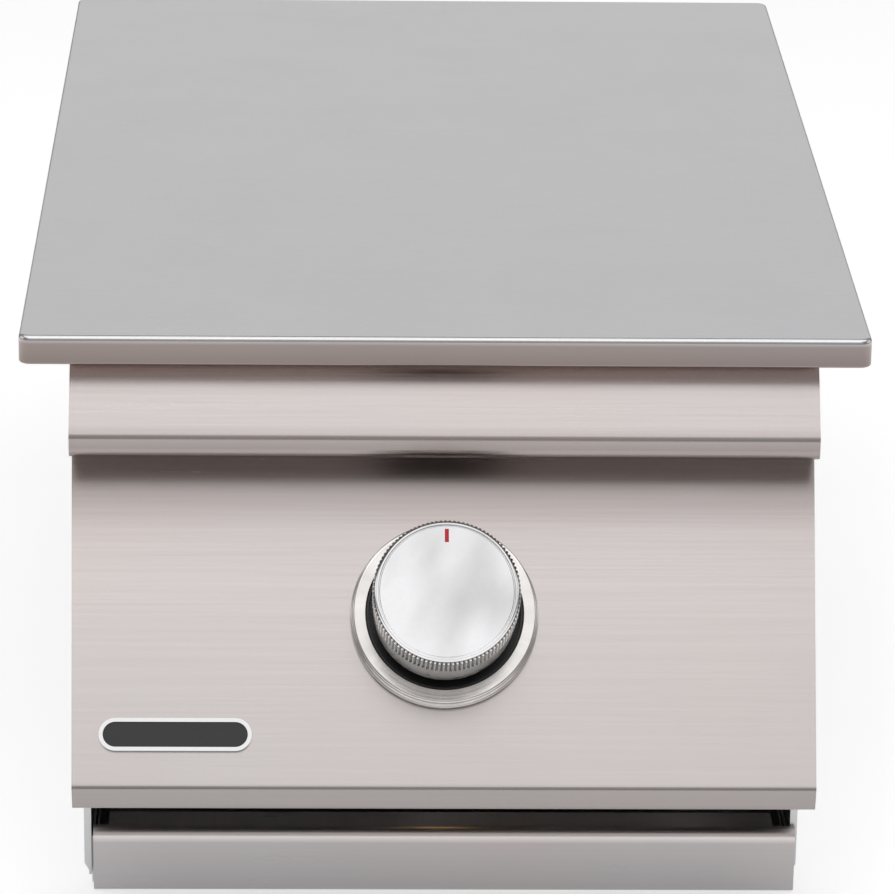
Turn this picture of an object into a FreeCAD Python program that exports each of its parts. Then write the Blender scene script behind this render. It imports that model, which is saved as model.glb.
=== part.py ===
import FreeCAD, Part
import math
import os
import re
import Sketcher

# Built-in side burner with a flat lift-off lid, a leaning control panel with one knob,
# a brass burner under a rod grate, and a drip tray that slides out to the front.
# Millimetres, +Z up, +Y to the rear, origin at the middle of the base.

Vector = FreeCAD.Vector
doc = FreeCAD.newDocument("SideBurner")
sheet = doc.addObject("Spreadsheet::Sheet", "Sizes")

# Driving sizes, one named value each
SIZES = {
    # Sheet metal and clearances
    "Gauge": 1.2,
    "WallGauge": 1.1,
    "TrayGauge": 0.8,
    "RestGap": 0.3,
    "RunFit": 0.08,
    "HoleFit": 0.2,
    "Sliver": 0.01,
    # Lid
    "Height": 245,
    "LidWidth": 362,
    "LidDepth": 545,
    "LidRim": 12.7,
    "LidReturn": 16,
    "LidCorner": 5,
    "LidBend": 2,
    "LidGap": 1.3,
    "BumperWide": 8,
    "BumperSide": 11,
    "BumperEnd": 40,
    "RibInset": 36,
    "RibCrown": 16,
    "RibFoot": 9,
    "RibSlope": 3,
    "RibHeight": 7,
    "RibLength": 300,
    # Deck and its opening
    "DeckSide": 4,
    "DeckFrontInset": 24,
    "DeckRearInset": 8,
    "DeckCorner": 6,
    "SealWide": 16,
    "SealLedge": 21.3,
    "SealTall": 1,
    "SealInset": 3,
    "SealLag": 8,
    "OpeningWidth": 252,
    "OpeningLength": 380,
    "OpeningInset": 100,
    "OpeningCorner": 8,
    "ShelfWidth": 11,
    # Grate
    "GrateProud": 5,
    "GrateRod": 7,
    "RodCount": 11,
    "RodPitch": 22,
    "RodEndGap": 7,
    "BarBite": 0.6,
    "BarInset": 45,
    "BarEndGap": 1.5,
    # Bullnose lip
    "LipOut": 4,
    "LipTilt": 35,
    "LipFace": 28.3,
    "LipNose": 10.5,
    "LipTopBend": 12,
    "LipNoseBend": 4,
    "LipUnderBend": 5,
    # Control panel
    "PanelLap": 7.3,
    "PanelTaper": 2.8,
    "PanelTilt": 36,
    "PanelInset": 22,
    "PanelFlange": 12,
    "PanelSlope": 153,
    "PanelHem": 10.1,
    "PanelBend": 3,
    "PanelReturn": 12,
    # Box
    "BoxWidth": 305.4,
    "BoxRearInset": 40,
    "WallFoot": 5.4,
    "WallLead": 22,
    "WallShy": 20,
    "WallStep": 2,
    "EdgeFlange": 2,
    "EdgeTaper": 5.6,
    "EdgeTop": 100,
    "VentCount": 6,
    "VentPitch": 30,
    "VentTall": 36,
    "VentWide": 8,
    "VentRise": 72,
    "VentStart": 190,
    "RailGauge": 1.2,
    "RailFlange": 12,
    "FirewallInset": 85,
    "FirewallFoot": 35,
    "FirewallFlange": 12,
    "RearFlange": 12,
    "RearBend": 2,
    # Drip tray
    "RunnerGauge": 1.2,
    "RunnerLedge": 20,
    "RunnerTall": 22,
    "RunnerLag": 4,
    "TraySide": 1,
    "TrayTall": 22.5,
    "TrayRearGap": 20,
    "TrayCorner": 2,
    "TrayBend": 1.5,
    "FasciaWidth": 304,
    "FasciaTall": 29.3,
    "FasciaLead": 27.5,
    "FasciaTopReturn": 18,
    "FasciaFootReturn": 8,
    "FasciaBend": 4,
    "FasciaShift": 1.5,
    "FasciaNotch": 8,
    "NotchGap": 0.8,
    "RivetCount": 4,
    "RivetPitch": 80,
    "RivetWide": 4,
    # Knob, bezel and badge
    "KnobDown": 78.6,
    "StemHole": 6,
    "GasketTall": 0.8,
    "BezelTall": 8.2,
    "BezelWide": 80.2,
    "RecessWide": 66.4,
    "BezelEdge": 1.2,
    "LinerWall": 0.8,
    "KnobStand": 46.8,
    "KnobFaceWide": 60.4,
    "KnobBodyWide": 60.8,
    "GripWide": 62.2,
    "GripTall": 15.2,
    "GripSeat": 1,
    "KnobBevel": 0.8,
    "DishRim": 2.1,
    "DishDepth": 0.7,
    "KnobWall": 1.8,
    "KnobRoof": 3,
    "ShellTall": 27.3,
    "SkirtWide": 57.6,
    "SkirtFoot": 6.5,
    "SkirtWall": 3,
    "SpigotTall": 4,
    "WebTall": 2.5,
    "HubWide": 14,
    "HubFoot": 8,
    "BoreTop": 31,
    "MarkWide": 1.7,
    "MarkLength": 5.6,
    "MarkEdge": 0.4,
    "MarkTall": 0.2,
    "ClipWide": 5,
    "ClipTall": 12,
    "ClipGauge": 0.6,
    "BadgeWide": 64.7,
    "BadgeTall": 14.2,
    "BadgeSide": 113.9,
    "BadgeDown": 130.2,
    "BadgeThick": 1.8,
    "BadgeRim": 1.7,
    "BadgeSink": 0.5,
    # Valve
    "StemWide": 8,
    "StemFlat": 2.8,
    "StemTop": 29.5,
    "FlatFoot": 6,
    "ValveWide": 26,
    "ValveTop": 14,
    "ValveLength": 46,
    "BonnetTall": 3.5,
    "BonnetLength": 40,
    "BonnetScrewPitch": 32,
    "BonnetScrewWide": 3,
    "ChamberWide": 15,
    "ChamberDeep": 24,
    "ShoulderWide": 11,
    "ShoulderTall": 6.5,
    "WasherTall": 1,
    "SpringWire": 1,
    "SpringTurns": 5,
    "PressStroke": 4,
    "BladeGap": 0.5,
    "BladeThick": 1.8,
    "PlugWide": 12,
    "PlugFootWide": 10,
    "PlugTop": 43,
    "PlugTall": 14,
    "SlotDeep": 13,
    "OutletDepth": 46,
    "OutletWide": 14,
    "OutletInset": 37,
    "OutletBore": 4,
    "InletDepth": 40,
    "InletWide": 18,
    "InletReach": 22,
    "InletBore": 8,
    "OrificeHex": 12,
    "OrificeTall": 7,
    "NozzleWide": 6,
    "NozzleTall": 5,
    "JetBore": 1.2,
    "PiezoWide": 16,
    "PiezoSide": 24,
    "PiezoTop": 16,
    "PiezoLength": 38,
    "StrapWide": 10,
    "StrapGauge": 1.5,
    # Gas pipe
    "PipeWide": 14,
    "PipeWall": 1.5,
    "PipeInset": 32.7,
    "PipeBend": 25,
    "PipeTail": 4,
    "InletHex": 22,
    "InletHexTall": 10,
    "InletThread": 15.9,
    "InletThreadLength": 14,
    "NutTall": 5,
    # Burner
    "BurnerWide": 96,
    "CapDrop": 11,
    "CapTall": 8,
    "CapSpigot": 5,
    "CapSpigotWide": 70,
    "HeadTall": 12,
    "HeadWall": 9,
    "PortCount": 36,
    "PortWide": 2.4,
    "PortDeep": 5,
    "PotTall": 35,
    "PotWide": 92,
    "PotFootWide": 56,
    "PotWall": 4,
    "VenturiWide": 25.4,
    "VenturiWall": 1.5,
    "VenturiInset": 44,
    "VenturiBend": 35,
    "VenturiRise": 10,
    "WindowCount": 4,
    "WindowLength": 14,
    "WindowWide": 9,
    "WindowInset": 8,
    "ShutterWall": 1.2,
    "ShutterEnd": 5,
    "ShutterOpen": 22,
    "ThumbWide": 8,
    "ThumbTall": 5,
    "ThumbShank": 3.5,
    "BracketWide": 44,
    "BracketGauge": 2,
    "BracketDrop": 22,
    "BracketBend": 3,
    "BoltPitch": 24,
    "BoltDrop": 12,
    "BoltWide": 5,
    "BoltHeadWide": 10,
    "BoltHeadTall": 2.4,
    "BoltReach": 8,
    # Igniter
    "SparkSide": 60,
    "SparkHole": 7,
    "CeramicTall": 30,
    "CeramicCollar": 10,
    "TabRise": 20,
    "TabGauge": 1.5,
    "TabWide": 16,
    "TabEnd": 9,
    "SparkWire": 2,
    "SparkRise": 5,
    "SparkReach": 8,
    "SparkTail": 8,
    "LeadWide": 3,
    "LeadHole": 12,
    "GrommetWall": 3,
    "LeadSide": 36,
    "LeadDrop": 16.4,
}

# Places worked out from the driving sizes
PLACES = {
    "LidFront": "(KnobForward - LidDepth) / 2",
    "KnobForward": "KnobDown * sin(PanelTilt) - PanelInset + KnobStand * cos(PanelTilt)"
                   " + KnobFaceWide / 2 * sin(PanelTilt)",
    "LidRear": "LidFront + LidDepth",
    "RimFoot": "Height - LidRim",
    "DeckWidth": "LidWidth - 2 * DeckSide",
    "PanelWidth": "BoxWidth + 2 * PanelLap",
    "DeckTop": "RimFoot - LidGap",
    "DeckUnder": "DeckTop - Gauge",
    "DeckFront": "LidFront + DeckFrontInset",
    "DeckRear": "LidRear - DeckRearInset",
    "OpeningFront": "LidFront + OpeningInset",
    "OpeningRear": "OpeningFront + OpeningLength",
    "RodZ": "DeckTop + GrateProud - GrateRod / 2",
    "BarZ": "RodZ - GrateRod + BarBite",
    "ShelfTop": "BarZ - GrateRod / 2 - RestGap",
    "LipNoseTop": "DeckUnder - LipFace",
    "LipBottom": "LipNoseTop - LipNose",
    "LipFront": "LidFront - LipOut",
    "LipTopCorner": "LipFront + LipFace * tan(LipTilt)",
    "PanelY": "LidFront + PanelInset",
    "PanelBack": "PanelY + PanelFlange",
    "PanelFootY": "PanelY - PanelSlope * sin(PanelTilt)",
    "PanelFootZ": "LipBottom - PanelSlope * cos(PanelTilt)",
    "HemZ": "PanelFootZ - PanelHem",
    "WallIn": "BoxWidth / 2 - WallGauge",
    "WallFront": "LidFront - WallLead",
    "WallRise": "PanelBack + WallStep",
    "WallKneeZ": "LipBottom - (PanelInset + WallLead) / tan(PanelTilt) - WallShy",
    "WallShoulderZ": "WallKneeZ + (WallRise - WallFront) / tan(PanelTilt)",
    "BoxRear": "LidRear - BoxRearInset",
    "Firewall": "LidFront + FirewallInset",
    "RunnerIn": "WallIn - RunnerGauge",
    "TrayHalf": "RunnerIn - TraySide",
    "TrayFoot": "RunnerGauge + RestGap",
    "FasciaFront": "LidFront - FasciaLead",
    "FasciaTop": "RestGap + FasciaTall",
    "BezelTop": "GasketTall + BezelTall",
    "SkirtTop": "KnobStand - ShellTall",
    "DishFloor": "KnobStand - DishDepth",
    "RoofFoot": "KnobStand - KnobRoof - DishDepth",
    "StemRadius": "StemWide / 2 - RunFit / 2",
    "BoreRadius": "StemWide / 2 + RunFit / 2",
    "BonnetFoot": "0 - ValveTop",
    "ChamberFoot": "BonnetFoot - ChamberDeep",
    "ShoulderFoot": "BonnetFoot - RestGap - ShoulderTall",
    "WasherTop": "ShoulderFoot - RestGap / 3",
    "ValveFoot": "BonnetFoot - ValveLength",
    "StemFoot": "PlugTop - PressStroke - BladeGap",
    "BladeFoot": "PlugTop + SlotDeep - PressStroke - 2 * BladeGap",
    "KnobY": "PanelY - KnobDown * sin(PanelTilt)",
    "KnobZ": "LipBottom - KnobDown * cos(PanelTilt)",
    "OutletZ": "KnobZ - OutletDepth * sin(PanelTilt)",
    "OutletY": "KnobY + OutletDepth * cos(PanelTilt)",
    "OutletEnd": "LidFront + OutletInset",
    "PipeY": "KnobY + InletDepth * cos(PanelTilt)",
    "PipeZ": "KnobZ - InletDepth * sin(PanelTilt)",
    "PipeSide": "BoxWidth / 2 - PipeInset",
    "BurnerY": "OpeningFront + OpeningLength / 2",
    "CapTop": "DeckTop - CapDrop",
    "HeadTop": "CapTop - CapTall",
    "PotTop": "HeadTop - HeadTall",
    "PotFoot": "PotTop - PotTall",
    "VenturiFront": "LidFront + VenturiInset",
    "WindowFront": "VenturiFront + WindowInset",
    "ShutterFront": "WindowFront - ShutterEnd",
    "ShutterLength": "WindowLength + 2 * ShutterEnd",
    "ShutterIn": "VenturiWide / 2 + RunFit",
    "ShutterOut": "ShutterIn + ShutterWall",
    "TabZ": "PotFoot + TabRise",
    "SparkTop": "TabZ + CeramicTall / 2",
    "CeramicFoot": "TabZ - CeramicTall / 2",
    "LeadTop": "CeramicFoot - SparkTail",
    "LeadRise": "OutletZ - LeadDrop",
}

# Middle line of the igniter lead: across, behind the lid's front face, and up
LEAD_ROUTE = (
    ("0 - LeadSide", 62, "LeadRise"),
    ("0 - LeadSide", 108, "LeadRise"),
    ("0 - LeadSide - 8", 152, "LeadRise - 2"),
    ("0 - SparkSide + 6", 196, "LeadRise"),
    ("0 - SparkSide - 2", 238, "LeadRise + 6"),
    ("0 - SparkSide - 2", 274, "LeadRise + 20"),
    ("0 - SparkSide", 290, "LeadTop - 30"),
)
LEAD_START = 18
LEAD_BEND = 0.45

for row, (name, value) in enumerate(SIZES.items(), 1):
    sheet.set(f"A{row}", name)
    sheet.set(f"B{row}", str(value))
    sheet.setAlias(f"B{row}", name)
doc.recompute()


def full(text):
    """Write a size expression out in terms of the sheet's cells."""
    def swap(match):
        word = match.group(0)
        return f"({full(PLACES[word])})" if word in PLACES else f"Sizes.{word}"
    return re.sub(r"\b[A-Z][A-Za-z]*\b", swap, str(text))


def size(text):
    """Value of a size expression."""
    return float(sheet.evalExpression(full(text)))


def bind(thing, prop, text):
    """Tie a property to a size expression."""
    thing.setExpression(prop, full(text))


def place(thing, x=0, y=0, z=0):
    """Tie where a piece stands."""
    for axis, text in (("x", x), ("y", y), ("z", z)):
        bind(thing, f"Placement.Base.{axis}", text)
    return thing


def turn(thing, axis, angle):
    """Turn a piece by a fixed angle, before it is placed."""
    thing.Placement = FreeCAD.Placement(Vector(), FreeCAD.Rotation(Vector(*axis), angle))
    return thing


def on_panel(thing, across=0, down="KnobDown"):
    """Stand a piece, built with Z outwards, on the leaning panel's face."""
    turn(thing, (1, 0, 0), 90 - size("PanelTilt"))
    bind(thing, "Placement.Rotation.Angle", "90 - PanelTilt")
    return place(thing, across, f"PanelY - ({down}) * sin(PanelTilt)",
                 f"LipBottom - ({down}) * cos(PanelTilt)")


# Sketches

def fix_point(sketch, geometry, point, x, y):
    """Hold a sketch point at two size expressions."""
    for kind, text, axis in (("DistanceX", x, -2), ("DistanceY", y, -1)):
        value = size(text)
        if abs(value) < 1e-9:
            sketch.addConstraint(Sketcher.Constraint("PointOnObject", geometry, point, axis))
            continue
        ends = (-1, 1, geometry, point) if value > 0 else (geometry, point, -1, 1)
        index = sketch.addConstraint(Sketcher.Constraint(kind, *ends, abs(value)))
        sign = "" if value > 0 else "0 - "
        bind(sketch, f"Constraints[{index}]", f"{sign}({text})")


def fix_radius(sketch, geometry, radius):
    """Hold a circle's or an arc's radius at a size expression."""
    index = sketch.addConstraint(Sketcher.Constraint("Radius", geometry, size(radius)))
    bind(sketch, f"Constraints[{index}]", radius)


def draw_loop(sketch, corners, closed=True):
    """Draw a chain of straight lines; a corner's third value rounds it."""
    first = sketch.GeometryCount
    count = len(corners) if closed else len(corners) - 1
    spots = [Vector(size(corner[0]), size(corner[1]), 0) for corner in corners]
    for index in range(count):
        line = Part.LineSegment(spots[index], spots[(index + 1) % len(spots)])
        sketch.addGeometry(line, False)
    for index in range(count if closed else count - 1):
        after = first + (index + 1) % count
        sketch.addConstraint(Sketcher.Constraint("Coincident", first + index, 2, after, 1))
    for index, corner in enumerate(corners):
        line, end = (index, 1) if index < count else (count - 1, 2)
        fix_point(sketch, first + line, end, corner[0], corner[1])
    for index, corner in enumerate(corners):
        if len(corner) > 2:
            sketch.fillet(first + index, 1, size(corner[2]), True, True)
            arcs = [i for i, item in enumerate(sketch.Geometry)
                    if item.TypeId == "Part::GeomArcOfCircle"]
            fix_radius(sketch, arcs[-1], corner[2])


def draw_circle(sketch, x, y, radius):
    """Draw a circle."""
    circle = Part.Circle(Vector(size(x), size(y), 0), Vector(0, 0, 1), size(radius))
    index = sketch.addGeometry(circle, False)
    fix_point(sketch, index, 3, x, y)
    fix_radius(sketch, index, radius)


def loose_sketch(corners, closed=True):
    """A sketch outside any body, for extrusions, sweeps and turned pieces."""
    sketch = doc.addObject("Sketcher::SketchObject", "Outline")
    draw_loop(sketch, corners, closed)
    return sketch


# Bodies

def new_body(label):
    """An empty body."""
    body = doc.addObject("PartDesign::Body", "Body")
    body.Label = label
    return body


def body_sketch(body, role, lift=0):
    """A sketch on one of a body's own planes, lifted along its normal."""
    sketch = body.newObject("Sketcher::SketchObject", "Sketch")
    plane = next(item for item in body.Origin.OriginFeatures if item.Role == role)
    sketch.AttachmentSupport = (plane, [""])
    sketch.MapMode = "FlatFace"
    bind(sketch, "AttachmentOffset.Base.z", lift)
    return sketch


def pad(body, role, corners, length, lift=0, circles=()):
    """Pad a closed outline, with round holes, from a lifted plane."""
    sketch = body_sketch(body, role, lift)
    if corners:
        draw_loop(sketch, corners)
    for circle in circles:
        draw_circle(sketch, *circle)
    feature = body.newObject("PartDesign::Pad", "Pad")
    feature.Profile = sketch
    bind(feature, "Length", length)
    doc.recompute()
    return feature


def pocket(body, role, length, lift=0, corners=(), circles=(), both=False):
    """Cut an outline or circles out of a body and make sure that it cut something."""
    before = body.Shape.Volume
    sketch = body_sketch(body, role, lift)
    if corners:
        draw_loop(sketch, corners)
    for circle in circles:
        draw_circle(sketch, *circle)
    feature = body.newObject("PartDesign::Pocket", "Pocket")
    feature.Profile = sketch
    bind(feature, "Length", length)
    feature.Midplane = both
    doc.recompute()
    if body.Shape.Volume >= before:
        raise ValueError(f"a pocket in {body.Label} cuts nothing")
    return feature


def round_edges(body, radius, wanted):
    """Fillet the edges of a body's tip that a test picks."""
    tip = body.Tip
    edges = [f"Edge{i}" for i, edge in enumerate(tip.Shape.Edges, 1) if wanted(edge)]
    feature = body.newObject("PartDesign::Fillet", "Fillet")
    feature.Base = (tip, edges)
    feature.Radius = size(radius)
    bind(feature, "Radius", radius)
    doc.recompute()
    return feature


def turned(label, corners):
    """A body turned about its Z axis from a half outline of radius and height."""
    body = new_body(label)
    sketch = body_sketch(body, "XZ_Plane")
    draw_loop(sketch, corners)
    feature = body.newObject("PartDesign::Revolution", "Turning")
    feature.Profile = sketch
    feature.ReferenceAxis = (sketch, ["V_Axis"])
    feature.Angle = 360
    doc.recompute()
    return body


def around(body, feature, count):
    """Repeat a feature around a body's Z axis."""
    pattern = body.newObject("PartDesign::PolarPattern", "Ring")
    pattern.Originals = [feature]
    axis = next(item for item in body.Origin.OriginFeatures if item.Role == "Z_Axis")
    pattern.Axis = (axis, [""])
    pattern.Angle = 360
    pattern.Occurrences = int(size(count))
    bind(pattern, "Occurrences", count)
    body.Tip = pattern
    doc.recompute()
    return pattern


# Loose solids

def block(x, y, z, label="Block"):
    """A box from three (low, high) pairs."""
    box = doc.addObject("Part::Box", "Block")
    box.Label = label
    for prop, (low, high) in (("Length", x), ("Width", y), ("Height", z)):
        bind(box, prop, f"({high}) - ({low})")
    return place(box, x[0], y[0], z[0])


def rod(radius, length, x=0, y=0, z=0, along="z", label="Rod"):
    """A round bar from a point along an axis."""
    bar = doc.addObject("Part::Cylinder", "Rod")
    bar.Label = label
    bind(bar, "Radius", radius)
    bind(bar, "Height", length)
    axis, angle = {"z": ((0, 0, 1), 0), "x": ((0, 1, 0), 90), "y": ((1, 0, 0), -90),
                   "down": ((1, 0, 0), 180), "left": ((0, 1, 0), -90),
                   "front": ((1, 0, 0), 90)}[along]
    return place(turn(bar, axis, angle), x, y, z)


def fused(label, *pieces):
    """Pieces made one."""
    whole = doc.addObject("Part::MultiFuse", "Joined")
    whole.Shapes = list(pieces)
    whole.Label = label
    return whole


def grouped(label, pieces):
    """Separate solids kept under one name."""
    group = doc.addObject("Part::Compound", "Set")
    group.Links = list(pieces)
    group.Label = label
    return group


def cut(label, base, *tools):
    """A piece less others."""
    result = doc.addObject("Part::Cut", "Cut")
    result.Base = base
    result.Tool = tools[0] if len(tools) == 1 else fused("Tools", *tools)
    result.Label = label
    return result


def extrude(sketch, length, centred=True, label="Prism"):
    """Extrude a loose outline along its normal."""
    prism = doc.addObject("Part::Extrusion", "Prism")
    prism.Base = sketch
    prism.DirMode = "Custom"
    prism.Dir = Vector(0, 0, 1)
    bind(prism, "LengthFwd", length)
    prism.Symmetric = centred
    prism.Solid = True
    prism.Label = label
    return prism


def bent_sheet(label, corners, gauge, width, side=1):
    """A sheet bent along a path of depth and height, as wide across as given."""
    skin = doc.addObject("Part::Offset2D", "Skin")
    skin.Source = loose_sketch(corners, closed=False)
    skin.Mode = "Skin"
    skin.Join = "Intersection"
    skin.Fill = True
    bind(skin, "Value", f"{side} * {gauge}")
    return turn(extrude(skin, width, label=label), (1, 1, 1), 120)


def side_plate(label, corners, gauge, x):
    """A flat plate drawn in depth and height, standing from x towards +X."""
    return place(turn(extrude(loose_sketch(corners), gauge, False, label), (1, 1, 1), 120), x)


def swept(path, radius, start, facing):
    """A round bar along a loose path."""
    ring = doc.addObject("Part::Circle", "Ring")
    bind(ring, "Radius", radius)
    place(turn(ring, *facing), *start)
    sweep = doc.addObject("Part::Sweep", "Sweep")
    sweep.Sections = [ring]
    sweep.Spine = (path, [])
    sweep.Solid = True
    return sweep


def bend(corner, into, out, reach):
    """The arc that rounds a corner between two directions, and its radius."""
    half = into.getAngle(out) / 2
    radius = reach / math.tan(half)
    bisector = (out - into).normalize()
    middle = corner + bisector * (reach / math.sin(half) - radius)
    arc = Part.Arc(corner - into * reach, middle, corner + out * reach)
    return arc.toShape(), radius


def two_arcs(start, way, end, end_way):
    """Two arcs that join two points, leaving and arriving along given directions."""
    chord, ways = end - start, way + end_way
    spread = 2 * (1 - way.dot(end_way))
    along = chord.dot(ways)
    reach = (math.sqrt(along ** 2 + spread * chord.dot(chord)) - along) / spread
    first, last = start + way * reach, end - end_way * reach
    between = (last - first).normalize()
    return [bend(first, way, between, reach)[0], bend(last, between, end_way, reach)[0]]


def round_wire(edges, radius, start, way):
    """One unbroken tube along edges that meet in line."""
    ring = Part.Wire(Part.makeCircle(radius, start, way))
    return Part.Wire(edges).makePipeShell([ring], True, False)


NODES = []
QUARTERS = 4


def keep(piece, label=None):
    """Name a finished sub-part and note it for export."""
    if label:
        piece.Label = label
    NODES.append(piece)
    return piece


def both_sides(make):
    """Make a left and a right piece."""
    for side, sign in (("left", -1), ("right", 1)):
        make(side, sign)


# Lid

def lid():
    """Folded lid: a shallow pan, upside down, with a return flange round its foot."""
    half, rise = "LidWidth / 2", "LidRim"
    body = new_body("lid_shell")
    outline = (
        (f"0 - {half}", "LidFront", "LidCorner"), (half, "LidFront", "LidCorner"),
        (half, "LidRear", "LidCorner"), (f"0 - {half}", "LidRear", "LidCorner"),
    )
    pad(body, "XY_Plane", outline, rise, "RimFoot")
    ends = (size("RimFoot"), size("Height"))
    round_edges(body, "LidBend", lambda edge: all(
        abs(point.Z - ends[1]) < 1e-6 for point in edge.Vertexes))
    inner = body_inset("Gauge")
    pocket(body, "XY_Plane", f"{rise} - 2 * Gauge", "Height - Gauge", inner)
    pocket(body, "XY_Plane", "2 * Gauge", "RimFoot + 1.5 * Gauge", body_inset("LidReturn"))
    round_edges(body, "LidBend / 2", lambda edge: all(
        abs(point.Z - ends[0]) < 1e-6 for point in edge.Vertexes) and edge.Length > 0
        and outside_lid(edge))
    keep(body)


def body_inset(inset):
    """The lid's outline, drawn in by an inset, with its corners."""
    side = f"LidWidth / 2 - {inset}"
    front, rear = f"LidFront + {inset}", f"LidRear - {inset}"
    corner = "LidCorner - Gauge"
    return (
        (f"0 - ({side})", front, corner), (side, front, corner),
        (side, rear, corner), (f"0 - ({side})", rear, corner),
    )


def outside_lid(edge):
    """True for an edge on the lid's outer wall."""
    middle = edge.BoundBox.Center
    slack = size("LidCorner")
    return (abs(middle.x) > size("LidWidth / 2") - slack
            or middle.y < size("LidFront") + slack or middle.y > size("LidRear") - slack)


def lid_ribs():
    """Two hat ribs welded under the lid's top, ahead of and behind the grate."""
    ribs = []
    for middle in ("LidFront + RibInset", "LidRear - RibInset"):
        top = "Height - Gauge"
        foot = f"{top} - RibHeight"
        half = "RibCrown / 2"
        corners = (
            (f"{middle} - {half} - RibSlope - RibFoot", top),
            (f"{middle} - {half} - RibSlope", top),
            (f"{middle} - {half}", foot),
            (f"{middle} + {half}", foot),
            (f"{middle} + {half} + RibSlope", top),
            (f"{middle} + {half} + RibSlope + RibFoot", top),
        )
        ribs.append(bent_sheet("Rib", corners, "Gauge", "RibLength", 1))
    keep(grouped("lid_ribs", ribs))


def lid_bumpers():
    """Four rubber bumpers that the lid rests on."""
    bumpers = [
        rod("BumperWide / 2", "LidGap", f"{sign} * (LidWidth / 2 - BumperSide)", y, "DeckTop")
        for sign in (-1, 1)
        for y in ("LidFront + BumperEnd", "LidRear - BumperEnd")
    ]
    keep(grouped("lid_bumpers", bumpers))


# Deck and grate

def deck():
    """Top sheet whose edges rest on the counter, open over the burner."""
    body = new_body("cooktop_deck")
    half = "DeckWidth / 2"
    outline = (
        (f"0 - {half}", "DeckFront", "DeckCorner"), (half, "DeckFront", "DeckCorner"),
        (half, "DeckRear", "DeckCorner"), (f"0 - {half}", "DeckRear", "DeckCorner"),
    )
    pad(body, "XY_Plane", outline, "Gauge", "DeckUnder")
    pocket(body, "XY_Plane", "2 * Gauge", "DeckTop + Gauge / 2", opening("0"))
    keep(body)


def counter_seals():
    """Three rubber strips under the deck's edges, which lie on the counter.

    A side strip is SealWide across on a ledge of SealLedge, and keeps that share of its ledge.
    """
    foot = ("DeckUnder - SealTall", "DeckUnder")
    out, rear = "DeckWidth / 2 - SealInset", "DeckRear - SealInset"
    inner = f"{out} - SealWide * ({out} - BoxWidth / 2) / SealLedge"
    strips = [
        block((f"0 - ({inner})", inner), (f"{rear} - SealWide", rear), foot),
        block((inner, out), ("PanelBack + SealLag", rear), foot),
        block((f"0 - ({out})", f"0 - ({inner})"), ("PanelBack + SealLag", rear), foot),
    ]
    keep(grouped("counter_seals", strips))


def opening(inset):
    """The deck opening's outline, drawn in by an inset."""
    side = f"OpeningWidth / 2 - ({inset})"
    front, rear = f"OpeningFront + ({inset})", f"OpeningRear - ({inset})"
    return (
        (f"0 - ({side})", front, "OpeningCorner"), (side, front, "OpeningCorner"),
        (side, rear, "OpeningCorner"), (f"0 - ({side})", rear, "OpeningCorner"),
    )


def grate_frame():
    """Folded frame under the opening, with the shelf that carries the grate."""
    body = new_body("grate_frame")
    pad(body, "XY_Plane", opening("0 - Gauge"), "DeckUnder - ShelfTop + Gauge",
        "ShelfTop - Gauge")
    pocket(body, "XY_Plane", "DeckUnder - ShelfTop", "DeckUnder", opening("0"))
    pocket(body, "XY_Plane", "2 * Gauge", "ShelfTop + Gauge / 2", opening("ShelfWidth"))
    keep(body)


def grate():
    """Welded rod grate: rods front to back over two cross bars."""
    rods = []
    for index in range(int(size("RodCount"))):
        x = f"({index} - (RodCount - 1) / 2) * RodPitch"
        rods.append(rod("GrateRod / 2", "OpeningLength - 2 * RodEndGap", x,
                        "OpeningFront + RodEndGap", "RodZ", "y"))
    bars = []
    for y in ("OpeningFront + BarInset", "OpeningRear - BarInset"):
        bar = rod("GrateRod / 2", "OpeningWidth - 2 * BarEndGap",
                  "BarEndGap - OpeningWidth / 2", y, "BarZ", "x")
        bars.append(cut("Bar", bar, *rods))
    keep(grouped("cooking_grate", rods + bars))


# Front: lip, control panel, and their ends

def lip_corners():
    """The lip's outer line, from under the deck round the nose to the panel."""
    return (
        ("PanelBack", "DeckUnder"),
        ("LipTopCorner", "DeckUnder", "LipTopBend"),
        ("LipFront", "LipNoseTop", "LipNoseBend"),
        ("LipFront", "LipBottom", "LipUnderBend"),
        ("PanelBack", "LipBottom"),
    )


def panel_corners():
    """The control panel's outer line, from its top flange to its foot return."""
    return (
        ("PanelBack", "LipBottom"),
        ("PanelY", "LipBottom", "Gauge * 1.5"),
        ("PanelFootY", "PanelFootZ", "PanelBend"),
        ("PanelFootY", "HemZ", "PanelBend - Gauge / 2"),
        ("PanelFootY + PanelReturn", "HemZ"),
    )


def lip():
    """Bullnose lip under the lid, and the plates that close its ends."""
    sheet_piece = keep(bent_sheet("front_lip", lip_corners(), "Gauge", "PanelWidth", -1))

    def cap(side, sign):
        blank = side_plate("Blank", lip_corners(), "Gauge",
                           f"{sign} * (PanelWidth - Gauge) / 2 - Gauge / 2")
        keep(cut(f"lip_end_{side}", blank, sheet_piece))
    both_sides(cap)


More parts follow.
